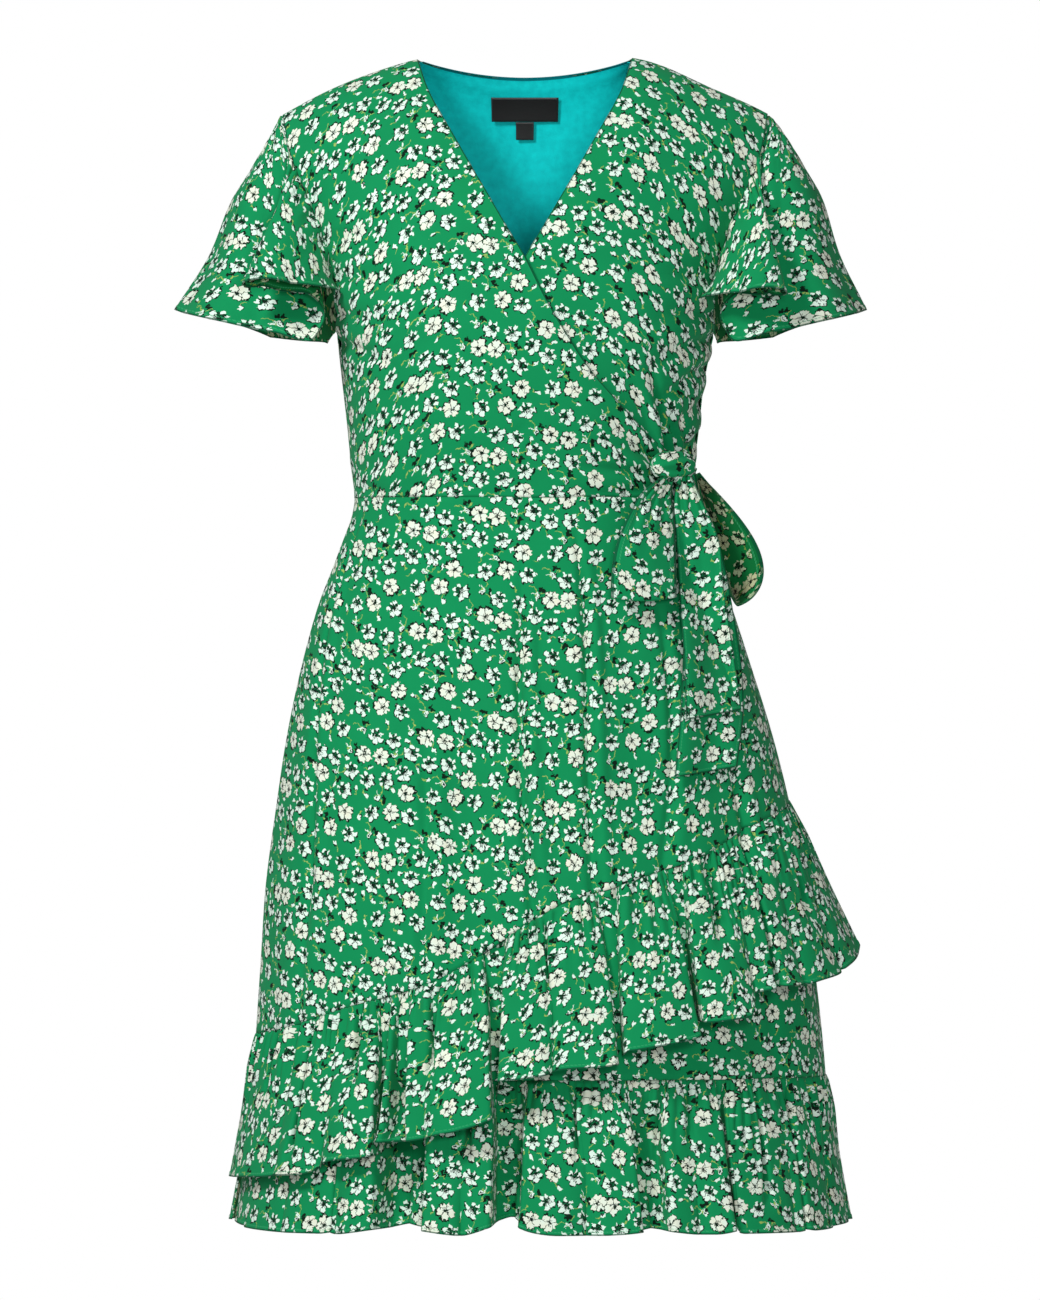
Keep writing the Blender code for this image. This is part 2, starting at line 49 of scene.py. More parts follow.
MM = 0.001                 # a millimetre
CLOTH = 0.0006             # thickness of the crepe
LIFT = 0.0003              # from the form to the inner face of the crepe
LAYER = 0.0026             # from one layer of cloth to the next one out
SEAM_GAP = 0.0002          # between the front and the back at the shoulder seams
UNDERARM = -0.225          # heights below the neck points
WAIST = -0.355
NECK_HALF = 0.0867         # half the width between the neck points
SHOULDER_DROP = 0.045      # from the neck point down to the end of the shoulder
SHOULDER_HALF = 0.196      # half the width between the ends of the shoulders
BACK_NECK_DROP = 0.013
UNDERLAP_REACH = 0.75      # how far the underlapping front reaches past the middle at the waist
UNDERLAP_SINK = 0.0042     # how far it lies in from the overlapping front
UNDERLAP_BLEND = 0.18      # share of the half width over which it sinks below the overlapping front
UNDERLAP_TOP = 0.28        # bodice level of the point of the V
WRAP_RIM = 0.006           # share of a front's width in the last column of its grid, at the wrap edge
UNDERLAP_SEAM = 10         # degrees from its own side seam over which it comes back to the form
SIDE_JOIN = 7              # degrees from its own side seam over which a skirt layer comes to its own level
UNDER_CLEAR = 0.0012       # how much further in the underlapping layer lies, clear of the overlapping one
LAYER_BLEND = 0.080        # height below the waist over which the skirt's layers change places
SQUARENESS = 2.2           # exponent of the oval sections
RUFFLE_SEAM = -0.822       # where the level ruffle joins the skirt
RUFFLE_DEPTH = 0.127
SHOULDER_CURVE = 1.25      # how late the shoulder line turns down
FRONT_OVER = 0.55          # how the front rounds over to the shoulder: exponent over the rise
BACK_OVER = (0.18, 0.27, 1.5)          # the same at the back: in the middle, added at the side, its exponent
ARMHOLE_TUCK = (0.07, 0.35, 0.7)       # share of the width tucked in at the armhole, rise it takes, exponent

# The form below the underarm: half widths at the wearer's right and left, depths at the front and back.
FORM = {
    "height": (-0.225, -0.260, -0.304, -0.330, -0.355, -0.401, -0.446, -0.486,
               -0.547, -0.607, -0.668, -0.729, -0.790, -0.960),
    "right": (0.151, 0.148, 0.143, 0.140, 0.137, 0.150, 0.166, 0.177,
              0.190, 0.199, 0.207, 0.211, 0.215, 0.224),
    "left": (0.151, 0.144, 0.139, 0.136, 0.135, 0.149, 0.165, 0.178,
             0.197, 0.212, 0.224, 0.233, 0.240, 0.250),
    "front": (0.122, 0.119, 0.111, 0.105, 0.100, 0.103, 0.111, 0.119,
              0.131, 0.140, 0.150, 0.158, 0.165, 0.180),
    "back": (0.098, 0.096, 0.091, 0.088, 0.086, 0.098, 0.111, 0.122,
             0.136, 0.146, 0.155, 0.163, 0.170, 0.184),
}
# Half the width between the armholes, by the share of the way up from the underarm to the shoulder.
ARMHOLE = {
    "rise": (0.0, 0.2, 0.4, 0.6, 0.8, 1.0),
    "half": (0.151, 0.154, 0.162, 0.176, 0.189, 0.196),
}
# The wrap edge of a front, by height, as a share of the half width: above 0 on its own side.
WRAP_EDGE = {
    "height": (-0.355, -0.340, -0.324, -0.304, -0.283, -0.250, -0.228, -0.198,
               -0.162, -0.135, -0.100, -0.058, -0.026, 0.0),
    "across": (-0.975, -0.940, -0.874, -0.710, -0.560, -0.345, -0.238, -0.118,
               0.000, 0.100, 0.212, 0.326, 0.405, 0.442),
}
# The slanting ruffle on the overlapping skirt front, by angle: its seam's height, and its depth down.
SLANT = {
    "angle": (-90, -60, -40, -20, -5, 5, 20, 40, 60, 90),
    "height": (-0.790, -0.780, -0.763, -0.743, -0.711, -0.686, -0.666, -0.643, -0.616, -0.600),
}
SLANT_DEPTH = {
    "angle": (-90, -72, -58, -49, -40, -33, -30, -22, -14, -8, -5, 4, 17, 21, 31, 33, 43, 46, 64, 78, 90),
    "depth": (0.114, 0.117, 0.121, 0.127, 0.124, 0.125, 0.117, 0.123, 0.131, 0.131, 0.114, 0.128,
              0.141, 0.134, 0.134, 0.128, 0.132, 0.119, 0.134, 0.130, 0.117),
}
# Soft waves of the ruffles: the valleys between them by angle, and the height of each wave.
SLANT_WAVES = {
    "valley": (-90, -73, -57, -44, -31.5, -20, -7, 5, 17.5, 33, 47, 61, 76, 90),
    "height": (0.002, 0.004, 0.007, 0.007, 0.009, 0.010, 0.012, 0.013, 0.012, 0.012, 0.010, 0.010, 0.004),
}
LEVEL_WAVES = {
    "valley": (-90, -72, -56, -40, -26.5, -13, -2, 11, 23.5, 33, 43, 56, 72, 90,
               106, 120, 134, 150, 165, 180, 195, 210, 226, 242, 256, 270),
    "height": (0.002, 0.005, 0.006, 0.007, 0.009, 0.008, 0.008, 0.009, 0.007, 0.009, 0.007, 0.006, 0.002,
               0.003, 0.007, 0.007, 0.010, 0.009, 0.010, 0.008, 0.010, 0.008, 0.009, 0.006, 0.003),
}
# Folds of the ruffles. Each is a pocket in the cloth: angle, half width in degrees, depth in mm, how far its
# sides shut over it, its lean sideways and the lift of the hem in mm, and the shares of the ruffle's depth
# between which it starts and has ended; past 1 it runs out through the hem.
SLANT_FOLDS = {
    "angle": (-77, -66, -52, -38, -31.5, -26.0, -19, -6.5, 4, 17.0, 33, 41, 53, 69, 80),
    "half": (1.6, 1.4, 1.7, 1.5, 2.8, 2.5, 1.8, 3.6, 1.5, 3.2, 3.0, 2.4, 1.7, 2.4, 1.6),
    "depth": (11, 10, 13, 12, 26, 24, 13, 30, 11, 28, 26, 20, 13, 18, 10),
    "shut": (0.5, 0.5, 0.5, 0.5, 0.45, 0.42, 0.45, 0.50, 0.5, 0.34, 0.38, 0.4, 0.5, 0.4, 0.5),
    "lean": (2, -2, 2, 2, 0, 3, 3, 3, -3, 5, 6, 4, 3, 4, 2),
    "lift": (0, 0, 1, 0, 1, 0, 0, 3, 0, 4, 4, 0, 2, 0, 0),
    "start": (0, 0, 0, 0, 0, 0, 0, 0, 0, 0.02, 0, 0, 0, 0, 0),
    "end": (0.7, 0.5, 1.0, 0.6, 2, 1.2, 0.7, 2, 0.6, 2, 2, 0.6, 1.4, 0.7, 0.6),
}
LEVEL_FOLDS = {
    "angle": (-72, -56, -43, -26.2, -12, -3.4, 9, 23.5, 32.5, 40, 49, 60, 74,
              99, 113, 127, 141, 156, 171, 187, 202, 217, 232, 246, 259),
    "half": (1.8, 1.5, 1.8, 6.8, 1.5, 5.0, 1.6, 5.0, 1.5, 2.6, 1.7, 1.9, 1.8,
             1.9, 2.6, 1.7, 3.4, 2.0, 2.8, 1.8, 3.6, 2.0, 2.6, 1.8, 2.0),
    "depth": (9, 8, 12, 34, 10, 32, 10, 18, 10, 18, 13, 12, 10,
              7, 11, 6, 15, 8, 12, 6, 16, 8, 11, 7, 7),
    "shut": (0.5, 0.5, 0.5, 0.20, 0.5, 0.45, 0.5, 0.4, 0.5, 0.6, 0.5, 0.5, 0.5,
             0.5, 0.5, 0.5, 0.6, 0.5, 0.5, 0.5, 0.6, 0.5, 0.5, 0.5, 0.5),
    "lean": (2, -2, 2, 0, 2, 0, 2, 2, -2, 3, 3, 2, 3,
             -2, 3, 2, -3, 2, 3, -2, 3, -2, 2, 2, -2),
    "lift": (1, 0, 2, 8, 0, 14, 0, 5, 0, 5, 1, 2, 0,
             1, 5, 0, 7, 0, 5, 0, 8, 0, 4, 1, 1),
    "start": (0, 0, 0, 0.0, 0, 0, 0, 0.1, 0, 0, 0, 0, 0,
              0, 0, 0, 0, 0, 0, 0, 0, 0, 0, 0, 0),
    "end": (1.4, 0.5, 1.4, 2, 0.6, 2, 0.6, 2, 0.5, 2, 0.9, 1.4, 0.7,
            1.3, 2, 0.6, 2, 0.7, 2, 0.6, 2, 0.8, 2, 0.7, 1.2),
}
FOLD_SIDE = (0.8, 2.0)     # width of a fold's side: at most this share of its half, and these degrees
FOLD_PULL = 1.55           # how far a fold's edges move when it shuts, for each degree of its side
FOLD_DRAW = 2.6            # how far beside it the cloth is drawn, for each degree of its side
SLANT_FLARE = 0.013        # how far the slanting ruffle stands out at its hem
SLANT_END_FLARE = 0.022    # added towards its free corner at the left side
SLANT_END_ANGLES = (55, 90)            # where that starts and where it is complete
LEVEL_FLARE = 0.010
FLARE_GROWTH = 1.2         # exponents with which flare and waves grow from seam to hem
WAVE_GROWTH = 1.2
WAVE_PINCH = 0.55          # how narrow the valleys between waves get: 0 even waves, 1 shut
WAVE_ROUND = 0.8           # exponent of a wave's rounded crest
FOLD_GROWS = (-0.02, 0.36)             # shares of the depth from a fold's start between which it deepens
FOLD_GROWTH = 0.6          # exponent of that
FOLD_FADE = 0.35           # share of the depth over which it ends
FOLD_WIDE = 1.8            # how far its lean and lift reach to each side, against its half width
RUFFLE_WANDER = 1.2        # degrees that a ruffle's cloth strays sideways midway down
RUFFLE_FLUTTER = 0.0016    # height of the small ripples towards its hem
PUFF = 0.0024              # how far a ruffle stands out just below its seam
PUFF_RISE = 0.26           # share of its depth over which it puffs out
GATHER_STEP = 2.05         # degrees from one small gather at a ruffle's seam to the next
GATHER_HEIGHT = 0.0027
GATHER_REACH = 0.42        # share of a ruffle's depth over which its small gathers fade out
HEM_BAND = 0.0035          # width of the narrow rolled hem
HEM_HEIGHT = 0.0005        # how far it stands up
HEM_ROWS = (1.25, 1.05, 0.95, 0.6, 0.3, 0.1, 0.0)      # rows of points near a hem, in widths of its band
HEM_STEP = (0.9, 1.08)     # where the band's inner edge steps down, in its widths
HEM_ROLL = (-0.0012, 0.0010)           # how its outer edge rounds over
HEM_MEAN_LIFT = 0.004      # how much higher the level hem hangs than the ruffle's full depth
HEM_SIDE_LIFT = 0.006      # and how much higher again at the side seams
FACED_RIM = 0.0022         # width of the rim of a turned edge, where the dark rim line shows: partly the edge's own tone, partly painted shade
NO_RIM = 0.010             # added to the distance to an edge where no rim shows
BODICE_UNEVEN = 0.0008     # height of the faint uneven waves of the bodice
LINING_UNEVEN = 0.0006     # and of its lining
LINING_GAP = 0.0011        # how far in from the back the lining lies at the neck
LINING_HANG = 0.012        # length over which it falls back to a layer's distance
LINING_RISE = (0.0012, 0.0030)         # how far its top stands up at the neck, and lies down at the shoulders

# Free hem of a flutter sleeve from the front of the armhole over the arm to the back, for the left arm. It
# runs out to a fold edge, back under itself to the armpit, and out again to the tip.
SLEEVE_HEM = {
    "turn": (0.0, 0.08, 0.16, 0.20, 0.24, 0.30, 0.35, 0.39, 0.43, 0.50, 0.58, 0.65, 0.76, 0.88, 1.0),
    "x": (0.151, 0.181, 0.213, 0.227, 0.221, 0.195, 0.172, 0.161, 0.170, 0.207, 0.256,
          0.282, 0.250, 0.205, 0.162),
    "y": (-0.062, -0.091, -0.102, -0.096, -0.086, -0.078, -0.074, -0.068, -0.062, -0.062, -0.048,
          0.000, 0.062, 0.080, 0.052),
    "z": (-0.189, -0.185, -0.182, -0.184, -0.187, -0.189, -0.192, -0.207, -0.228, -0.222, -0.212,
          -0.204, -0.211, -0.224, -0.229),
}
SLEEVE_START = 0.19        # rise on the armhole where the sleeve's front end is sewn
SLEEVE_END = 0.03          # and its back end
SLEEVE_LIFT = 0.13         # how far the sleeve arches, as a share of its length
SLEEVE_CLEAR = 0.0010      # from the armhole edge to the sleeve's seam edge
SLEEVE_WAVES = {
    "valley": (0.0, 0.10, 0.20, 0.30, 0.40, 0.52, 0.63, 0.74, 0.87, 1.0),
    "height": (0.002, 0.003, 0.001, 0.001, 0.004, 0.004, 0.004, 0.008, 0.004),
}
SLEEVE_GROWTH = 1.3
SLEEVE_REACH = {-1: 0.995, 1: 0.970}     # size sideways of each sleeve's hem: the left one hangs closer
SLEEVE_GATHERS = (30, 0.0014, 0.42)    # small gathers at the seam: count, height, share of the length
SLEEVE_HOLLOW = (0.007, 0.74, 0.34)    # inward curve above the hem: depth, middle and half its share
SLEEVE_OUTER = (0.35, 0.55, 0.85, 1.0)                 # turns between which its outer part starts and ends
SLEEVE_CAP = {-1: 0.006, 1: 0.015}     # outward curve of each sleeve's cap below its seam
SLEEVE_CAP_ROUND = (2.2, 0.6)          # its factor and exponent down the sleeve
SLEEVE_FOLD = (0.010, 0.255, 0.045)    # groove behind the front ridge: depth, middle and half, by turn
SLEEVE_FOLD_DOWN = (0.25, 0.8)         # shares of the length between which that grows
SLEEVE_FRONT = {-1: (1.0, 0.0), 1: (0.95, 0.007)}      # front layer of each: size sideways, how much longer
SLEEVE_FRONT_TURNS = (0.22, 0.36)      # turns over which that ends

# Long soft folds of the skirt, by angle at the top and at the foot; half width in degrees; depth inwards.
SKIRT_FOLDS = {
    "top_angle": (-70, -24, -1.5, 16, 52, 40, 108, 140, 163, 186, 214, 243),
    "foot_angle": (-57, -23, 1.5, 14, 57, 30, 112, 146, 160, 190, 210, 246),
    "top": (-0.38, -0.55, -0.44, -0.41, -0.50, -0.46, -0.40, -0.45, -0.40, -0.43, -0.48, -0.39),
    "foot": (-0.66, -0.74, -0.74, -0.72, -0.66, -0.66, -0.80, -0.80, -0.82, -0.80, -0.82, -0.76),
    "half": (2.6, 2.4, 1.9, 1.9, 2.4, 2.2, 2.8, 2.2, 2.4, 2.0, 2.6, 2.8),
    "depth": (0.0050, 0.0040, 0.0062, 0.0062, 0.0045, 0.0035, 0.0050, 0.0045, 0.0055, 0.0060, 0.0045, 0.0050),
}
# Wide waves of the skirt: waves per turn, height and starting angle.
SKIRT_WAVES = {
    "count": (7, 11, 17),
    "height": (0.0030, 0.0022, 0.0012),
    "start": (20, 75, 40),
}
# Drag lines of the bodice: start x and z, direction in degrees from +X, length, half width, depth inwards.
FRONT_CREASES = {
    "x": (0.120, 0.118, 0.112, 0.108, 0.104, -0.150, -0.149, -0.151, -0.153, 0.0, -0.136, -0.130),
    "z": (-0.334, -0.340, -0.330, -0.346, -0.322, -0.150, -0.178, -0.205, -0.226, -0.30, -0.335, -0.350),
    "turn": (160, 172, 148, 186, 138, 20, 4, -12, -30, 210, 15, -12),
    "length": (0.100, 0.120, 0.110, 0.100, 0.080, 0.050, 0.070, 0.060, 0.070, 0.07, 0.05, 0.05),
    "half": (0.0050, 0.0060, 0.0060, 0.0060, 0.0050, 0.0050, 0.0050, 0.0055, 0.0060, 0.008, 0.006, 0.006),
    "depth": (0.0026, 0.0024, 0.0026, 0.0022, 0.0022, 0.0034, 0.0032, 0.0030, 0.0032, 0.001, 0.0016, 0.0014),
}
UNDER_CREASES = {
    "x": (0.1135, 0.121, 0.129, 0.150, 0.149, 0.151, 0.150, 0.147, 0.147, 0.143),
    "z": (-0.322, -0.322, -0.322, -0.150, -0.178, -0.205, -0.226, -0.250, -0.275, -0.300),
    "turn": (98, 96, 88, 160, 176, 190, 205, 214, 220, 226),
    "length": (0.085, 0.065, 0.060, 0.050, 0.070, 0.065, 0.070, 0.060, 0.055, 0.050),
    "half": (0.0036, 0.0030, 0.0030, 0.0050, 0.0050, 0.0050, 0.0055, 0.0050, 0.0045, 0.0040),
    "depth": (0.0130, 0.0042, 0.0036, 0.0032, 0.0034, 0.0034, 0.0036, 0.0034, 0.0030, 0.0026),
}
BACK_CREASES = {
    "x": (0.149, 0.151, 0.150, -0.149, -0.151, -0.150, 0.0, 0.045, -0.050, 0.10, -0.10),
    "z": (-0.160, -0.190, -0.215, -0.160, -0.190, -0.215, -0.350, -0.350, -0.350, -0.350, -0.350),
    "turn": (188, 176, 164, -8, 4, 16, 90, 96, 84, 104, 76),
    "length": (0.060, 0.075, 0.065, 0.060, 0.075, 0.065, 0.060, 0.070, 0.080, 0.060, 0.060),
    "half": (0.0055, 0.0060, 0.0060, 0.0055, 0.0060, 0.0060, 0.009, 0.008, 0.008, 0.008, 0.008),
    "depth": (0.0022, 0.0024, 0.0020, 0.0022, 0.0024, 0.0020, 0.0020, 0.0018, 0.0018, 0.0016, 0.0016),
}

# The bow. Edges are given across the front (x) by height, and clearance is out from the skirt.
BOW_HEIGHT = -0.337
KNOT_PLACE = (0.119, -0.081, -0.330)
KNOT_SIZE = (0.0215, 0.009, 0.0115)
KNOT_TURN = 38             # degrees that it faces round to the left side
KNOT_FOLDS = (7, 0.12)     # folds round the knot, and their height as a share of its size
BAND_ANGLES = (60, 89)     # the short band from the knot to the side seam
BAND_SEWN = 66             # angle from which it comes in to the side seam
BAND_WIDTH = 0.011
BAND_CLEAR = (0.0065, 0.0022)          # out from the form: beside the knot, and sewn in at the side seam
LOOP_CLEAR = (0.0220, 0.0045)          # the front loop out from the skirt: its middle, each layer from there
LOOP_FOLD = 1.2            # exponent of the turn at its foot
LOOP_FULL = (0.005, 0.7)   # how far its middle puffs out, and the exponent across it
LOOP_OPEN = (1.25, 0.6)    # how far its layers lie apart at the foot, and how much less at the knot
LOOP_SAG = 0.003           # how much lower its foot hangs in the middle
LOOP_PLEATS = 3.5          # folds across it at the knot
PLEAT_HEIGHT = 0.0016      # height of the folds at the knot
RIM_WIDTHS = (0.028, 0.034, 0.050)     # widths of the front loop, side loop and tails, for their stitching
TAIL_PLEATS = 3
TAIL_WAVE = (0.0035, 2.2, 0.3)         # wave across a tail: height, half waves and start
TAIL_SLANT = 0.008         # how much lower its inner corner hangs
TAIL_CLEARS = (0.0140, 0.0095)         # the front tail and the back tail
FRONT_LOOP = {
    "height": (-0.436, -0.412, -0.389, -0.365, -0.352, -0.338),
    "inner": (0.0690, 0.0700, 0.0750, 0.0860, 0.0940, 0.1120),
    "outer": (0.1215, 0.1210, 0.1205, 0.1190, 0.1170, 0.1200),
}
FRONT_TAIL = {
    "height": (-0.530, -0.490, -0.430, -0.390, -0.352, -0.338),
    "inner": (0.1290, 0.1280, 0.1240, 0.1220, 0.1210, 0.1240),
    "outer": (0.1740, 0.1690, 0.1600, 0.1560, 0.1400, 0.1340),
    "depth": (0.074, 0.074, 0.075, 0.076, 0.078, 0.078),
}
BACK_TAIL = {
    "height": (-0.576, -0.520, -0.450, -0.400, -0.358, -0.340),
    "inner": (0.1200, 0.1250, 0.1270, 0.1250, 0.1240, 0.1260),
    "outer": (0.1700, 0.1760, 0.1680, 0.1580, 0.1420, 0.1360),
    "depth": (0.066, 0.066, 0.066, 0.067, 0.068, 0.068),
}
SIDE_LOOP_ROOT = (0.136, -0.333)       # x and z where the side loop leaves the knot
SIDE_LOOP_TIP = (0.172, -0.442)        # its lowest point
SIDE_LOOP_BULGE = (0.030, 0.004)       # outwards and inwards from the line between them
SIDE_LOOP_DEPTHS = (0.058, 0.024)      # how far forward its front and back edges are
SIDE_LOOP_BACK = 0.90                  # size of the back edge against the front one
SIDE_LOOP_FUNNEL = -0.40               # bulge of the back edge against the front one's
SIDE_LOOP_ENDS = 0.01                  # share of the side loop inside the knot at each end
SIDE_LOOP_PLEATS = (0.002, 2)          # folds across it at the knot: height and count
SIDE_LOOP_NARROWS = 0.8                # exponent with which its bulge changes from front to back
BAND_FOLDS = (0.0010, 2)               # folds along the short band: height and count
KNOT_FLAT = (0.045, 0.07)              # flat cloth on the knot: across and round it
KNOT_ENDS = 0.03                       # how far its closed ends stand out, against its half length

# Woven labels inside the back of the neck: half width, and heights of the top and the foot.
LABELS = {
    "label_neck": (0.0285, -0.026, -0.046),
    "label_size": (0.0078, -0.0465, -0.061),
}
LABEL_WALL = 0.0006


# ---- The form, as functions of place --------------------------------------------------------------

def ripple(angle, count, start=0.0):
    """A wave round the form that goes through count crests in a turn, from -1 to 1."""
    return np.sin(np.radians(angle * count + start))


def rows_of(table):
    """The rows of a table, each with its values by the names of the columns."""
    return [dict(zip(table, row)) for row in zip(*table.values())]


def smooth(table, key, column, at):
    """Reads a column of a table at the given keys, along one smooth curve through its rows."""
    keys = np.asarray(table[key], float)
    values = np.asarray(table[column], float)
    if keys[0] > keys[-1]:
        keys, values = keys[::-1], values[::-1]
    slopes = np.gradient(values, keys)
    at = np.clip(np.asarray(at, float), keys[0], keys[-1])
    row = np.clip(np.searchsorted(keys, at) - 1, 0, len(keys) - 2)
    span = keys[row + 1] - keys[row]
    s = (at - keys[row]) / span
    return (values[row] * (1 + 2 * s) * (1 - s) ** 2 + values[row + 1] * s * s * (3 - 2 * s)
            + span * (slopes[row] * s * (1 - s) ** 2 - slopes[row + 1] * s * s * (1 - s)))


def points(x, y, z):
    """A grid of points from three coordinates that spread over it."""
    return np.stack(np.broadcast_arrays(x, y, z), -1)


def ease(at, start, end):
    """0 before start, 1 after end, and a smooth S between them."""
    share = np.clip((at - start) / (end - start), 0, 1)
    return share * share * (3 - 2 * share)


def hump(at, half):
    """1 where at is 0, falling along a squared cosine to 0 at a distance of half."""
    return np.cos(np.pi / 2 * np.clip(at / half, -1, 1)) ** 2


def half_width(across, height):
    """Half width of the form below the underarm, on the side that across points to."""
    right = smooth(FORM, "height", "right", height)
    left = smooth(FORM, "height", "left", height)
    return np.where(across < 0, right, left)


def oval(across, tuck=1.0):
    """Depth of the oval section at a share of its half width, from 1 in the middle to 0 at the side."""
    return (1 - np.minimum(np.abs(across) * tuck, 1.0) ** SQUARENESS) ** (1 / SQUARENESS)


def body(angle, height):
    """Points of the form below the underarm, by angle in degrees and height."""
    turn = np.radians(angle)
    across = np.sin(turn)
    front = np.cos(turn) > 0
    depth = np.where(front, -smooth(FORM, "height", "front", height), smooth(FORM, "height", "back", height))
    return points(half_width(across, height) * across, depth * oval(across), height)


def shoulder_line(x):
    """Height of the shoulder seam at a distance from the middle."""
    out = np.clip((np.abs(x) - NECK_HALF) / (SHOULDER_HALF - NECK_HALF), 0, 1)
    return -SHOULDER_DROP * out ** SHOULDER_CURVE


def bodice(across, level, back):
    """Points of the bodice. Level runs from -1 at the waist by 0 at the underarm to 1 at the shoulder."""
    below = np.minimum(level, 0.0)
    rise = np.maximum(level, 0.0)
    height = UNDERARM + below * (UNDERARM - WAIST)
    width = np.where(level < 0, half_width(across, height), smooth(ARMHOLE, "rise", "half", rise))
    x = width * across
    tuck = 1 - ARMHOLE_TUCK[0] * np.clip(rise / ARMHOLE_TUCK[1], 0, 1) ** ARMHOLE_TUCK[2]
    outwards = 1.0 if back else -1.0
    exponent = BACK_OVER[0] + BACK_OVER[1] * np.abs(across) ** BACK_OVER[2] if back else FRONT_OVER
    over = np.sin(np.pi / 2 * (1 - rise)) ** exponent
    deep = smooth(FORM, "height", "back" if back else "front", height) * oval(across, tuck) * over
    y = outwards * (deep + np.where(rise > 0, SEAM_GAP / 2, 0.0))
    return points(x, y, height + rise * (shoulder_line(x) - UNDERARM))


def level_height(level):
    """Height of a bodice level near the middle, where the shoulder line is level."""
    return np.where(level < 0, UNDERARM + level * (UNDERARM - WAIST), UNDERARM * (1 - level))


def normals(grid):
    """Unit normals of a grid of points, from the directions along its rows and its columns."""
    along = np.gradient(grid, axis=1)
    down = np.gradient(grid, axis=0)
    out = np.cross(down, along)
    return out / np.maximum(np.linalg.norm(out, axis=-1, keepdims=True), 1e-12)


def moved_out(grid, distance):
    """The same grid, moved out along its normals."""
    return grid + normals(grid) * np.broadcast_to(distance, grid.shape[:2])[..., None]


def out_of(grid, height):
    """Level directions that point straight out of the form at the points of a skirt grid."""
    width = half_width(grid[..., 0], height)
    across = grid[..., 0] / width
    deep = np.where(grid[..., 1] > 0, smooth(FORM, "height", "back", height),
                    smooth(FORM, "height", "front", height))
    x = np.sign(across) * np.abs(across) ** (SQUARENESS - 1) / width
    y = np.sign(grid[..., 1]) * np.abs(grid[..., 1] / deep) ** (SQUARENESS - 1) / deep
    away = points(x, y, 0 * x)
    return away / np.linalg.norm(away, axis=-1, keepdims=True)


def swept(grid, out, sideways=0.0, up=0.0):
    """A skirt grid moved level and straight out of the form, sideways round it, and up."""
    away = out_of(grid, grid[..., 2])
    beside = points(-away[..., 1], away[..., 0], 0 * away[..., 0])
    moved = grid + away * np.asarray(out)[..., None] + beside * np.asarray(sideways)[..., None]
    moved[..., 2] += up
    return moved


# ---- Folds ----------------------------------------------------------------------------------------

def waves(table, at):
    """How far a ruffle's soft waves move its hem: out, and along in the units of at.

    Out is a rounded crest between two valleys. Along moves the cloth from the crest towards both valleys.
    """
    valleys = np.asarray(table["valley"], float)
    gap = np.clip(np.searchsorted(valleys, at, side="right") - 1, 0, len(valleys) - 2)
    width = valleys[gap + 1] - valleys[gap]
    share = np.clip((at - valleys[gap]) / width, 0, 1)
    out = np.asarray(table["height"])[gap] * np.sin(np.pi * share) ** WAVE_ROUND
    return out, -WAVE_PINCH * width * np.sin(2 * np.pi * share) / (2 * np.pi)


def pockets(table, at, down):
    """How far a ruffle's folds move its cloth: out, along in degrees, sideways and up in metres.

    A fold is a flat-bottomed pocket. Its sides rise along an S, and its two edges are drawn together over
    it, which thins out over the cloth beside it.
    """
    out = along = beside = up = 0.0
    for fold in rows_of(table):
        side = min(FOLD_SIDE[0] * fold["half"], FOLD_SIDE[1])
        strength = ease(down, fold["start"] + FOLD_GROWS[0], fold["start"] + FOLD_GROWS[1]) ** FOLD_GROWTH
        strength = strength * (1 - ease(down, fold["end"] - FOLD_FADE, fold["end"]))
        off = at - fold["angle"]
        past = np.abs(off) - fold["half"]
        out = out - MM * fold["depth"] * strength * (1 - ease(past, -side, 0))
        drawn = np.where(past < 0, hump(past, side), hump(past, FOLD_DRAW * side))
        along = along - np.sign(off) * fold["shut"] * FOLD_PULL * side * strength * drawn
        wide = hump(off, FOLD_WIDE * fold["half"])
        beside = beside + MM * fold["lean"] * strength * wide
        up = up + MM * fold["lift"] * strength * wide
    return out, along, beside, up


def gathers(angle, down):
    """Small uneven gathers below a ruffle's seam, which fade out down the cloth.

    Their place, size and reach each stray along slower waves round the form.
    """
    phase = angle / GATHER_STEP + 0.8 * ripple(angle, 9) + 0.5 * ripple(angle, 23, 40)
    size = 0.65 + 0.35 * ripple(angle, 31, 70)
    fade = 1 - ease(down, 0.05, GATHER_REACH * (1.2 + 0.5 * ripple(angle, 17)))
    fade = fade * ease(down, -0.03, 0.05)
    return GATHER_HEIGHT * size * fade * (np.sin(2 * np.pi * phase) + 0.3 * np.sin(4.3 * np.pi * phase + 1))


def skirt_folds(angle, height):
    """How far the long folds and wide waves of the skirt move it out, by angle and height."""
    out = 0.0
    for row, fold in enumerate(rows_of(SKIRT_FOLDS)):
        share = np.clip((height - fold["top"]) / (fold["foot"] - fold["top"]), 0, 1)
        middle = fold["top_angle"] + (fold["foot_angle"] - fold["top_angle"]) * share
        strength = ease(height, fold["top"] + 0.05, fold["top"] - 0.06)
        strength = strength * (0.35 + 0.65 * ease(height, fold["foot"] - 0.07, fold["foot"] + 0.03))
        off = angle - middle - 0.8 * np.sin(18 * height + row)
        trough = hump(off, fold["half"]) - 0.5 * hump(off - 1.5 * fold["half"], 1.3 * fold["half"])
        out = out - fold["depth"] * strength * trough
    grown = ease(height, WAIST - 0.03, -0.62)
    for wave in rows_of(SKIRT_WAVES):
        turn = wave["count"] * (angle - wave["start"]) + 40 * np.sin(9 * height)
        out = out + wave["height"] * grown * np.cos(np.radians(turn))
    return out


def free_of_sides(angle):
    """1 round most of the skirt, falling to 0 at its side seams, which hang straight."""
    return ease(90 - np.abs((angle + 90) % 180 - 90), 0, 32)


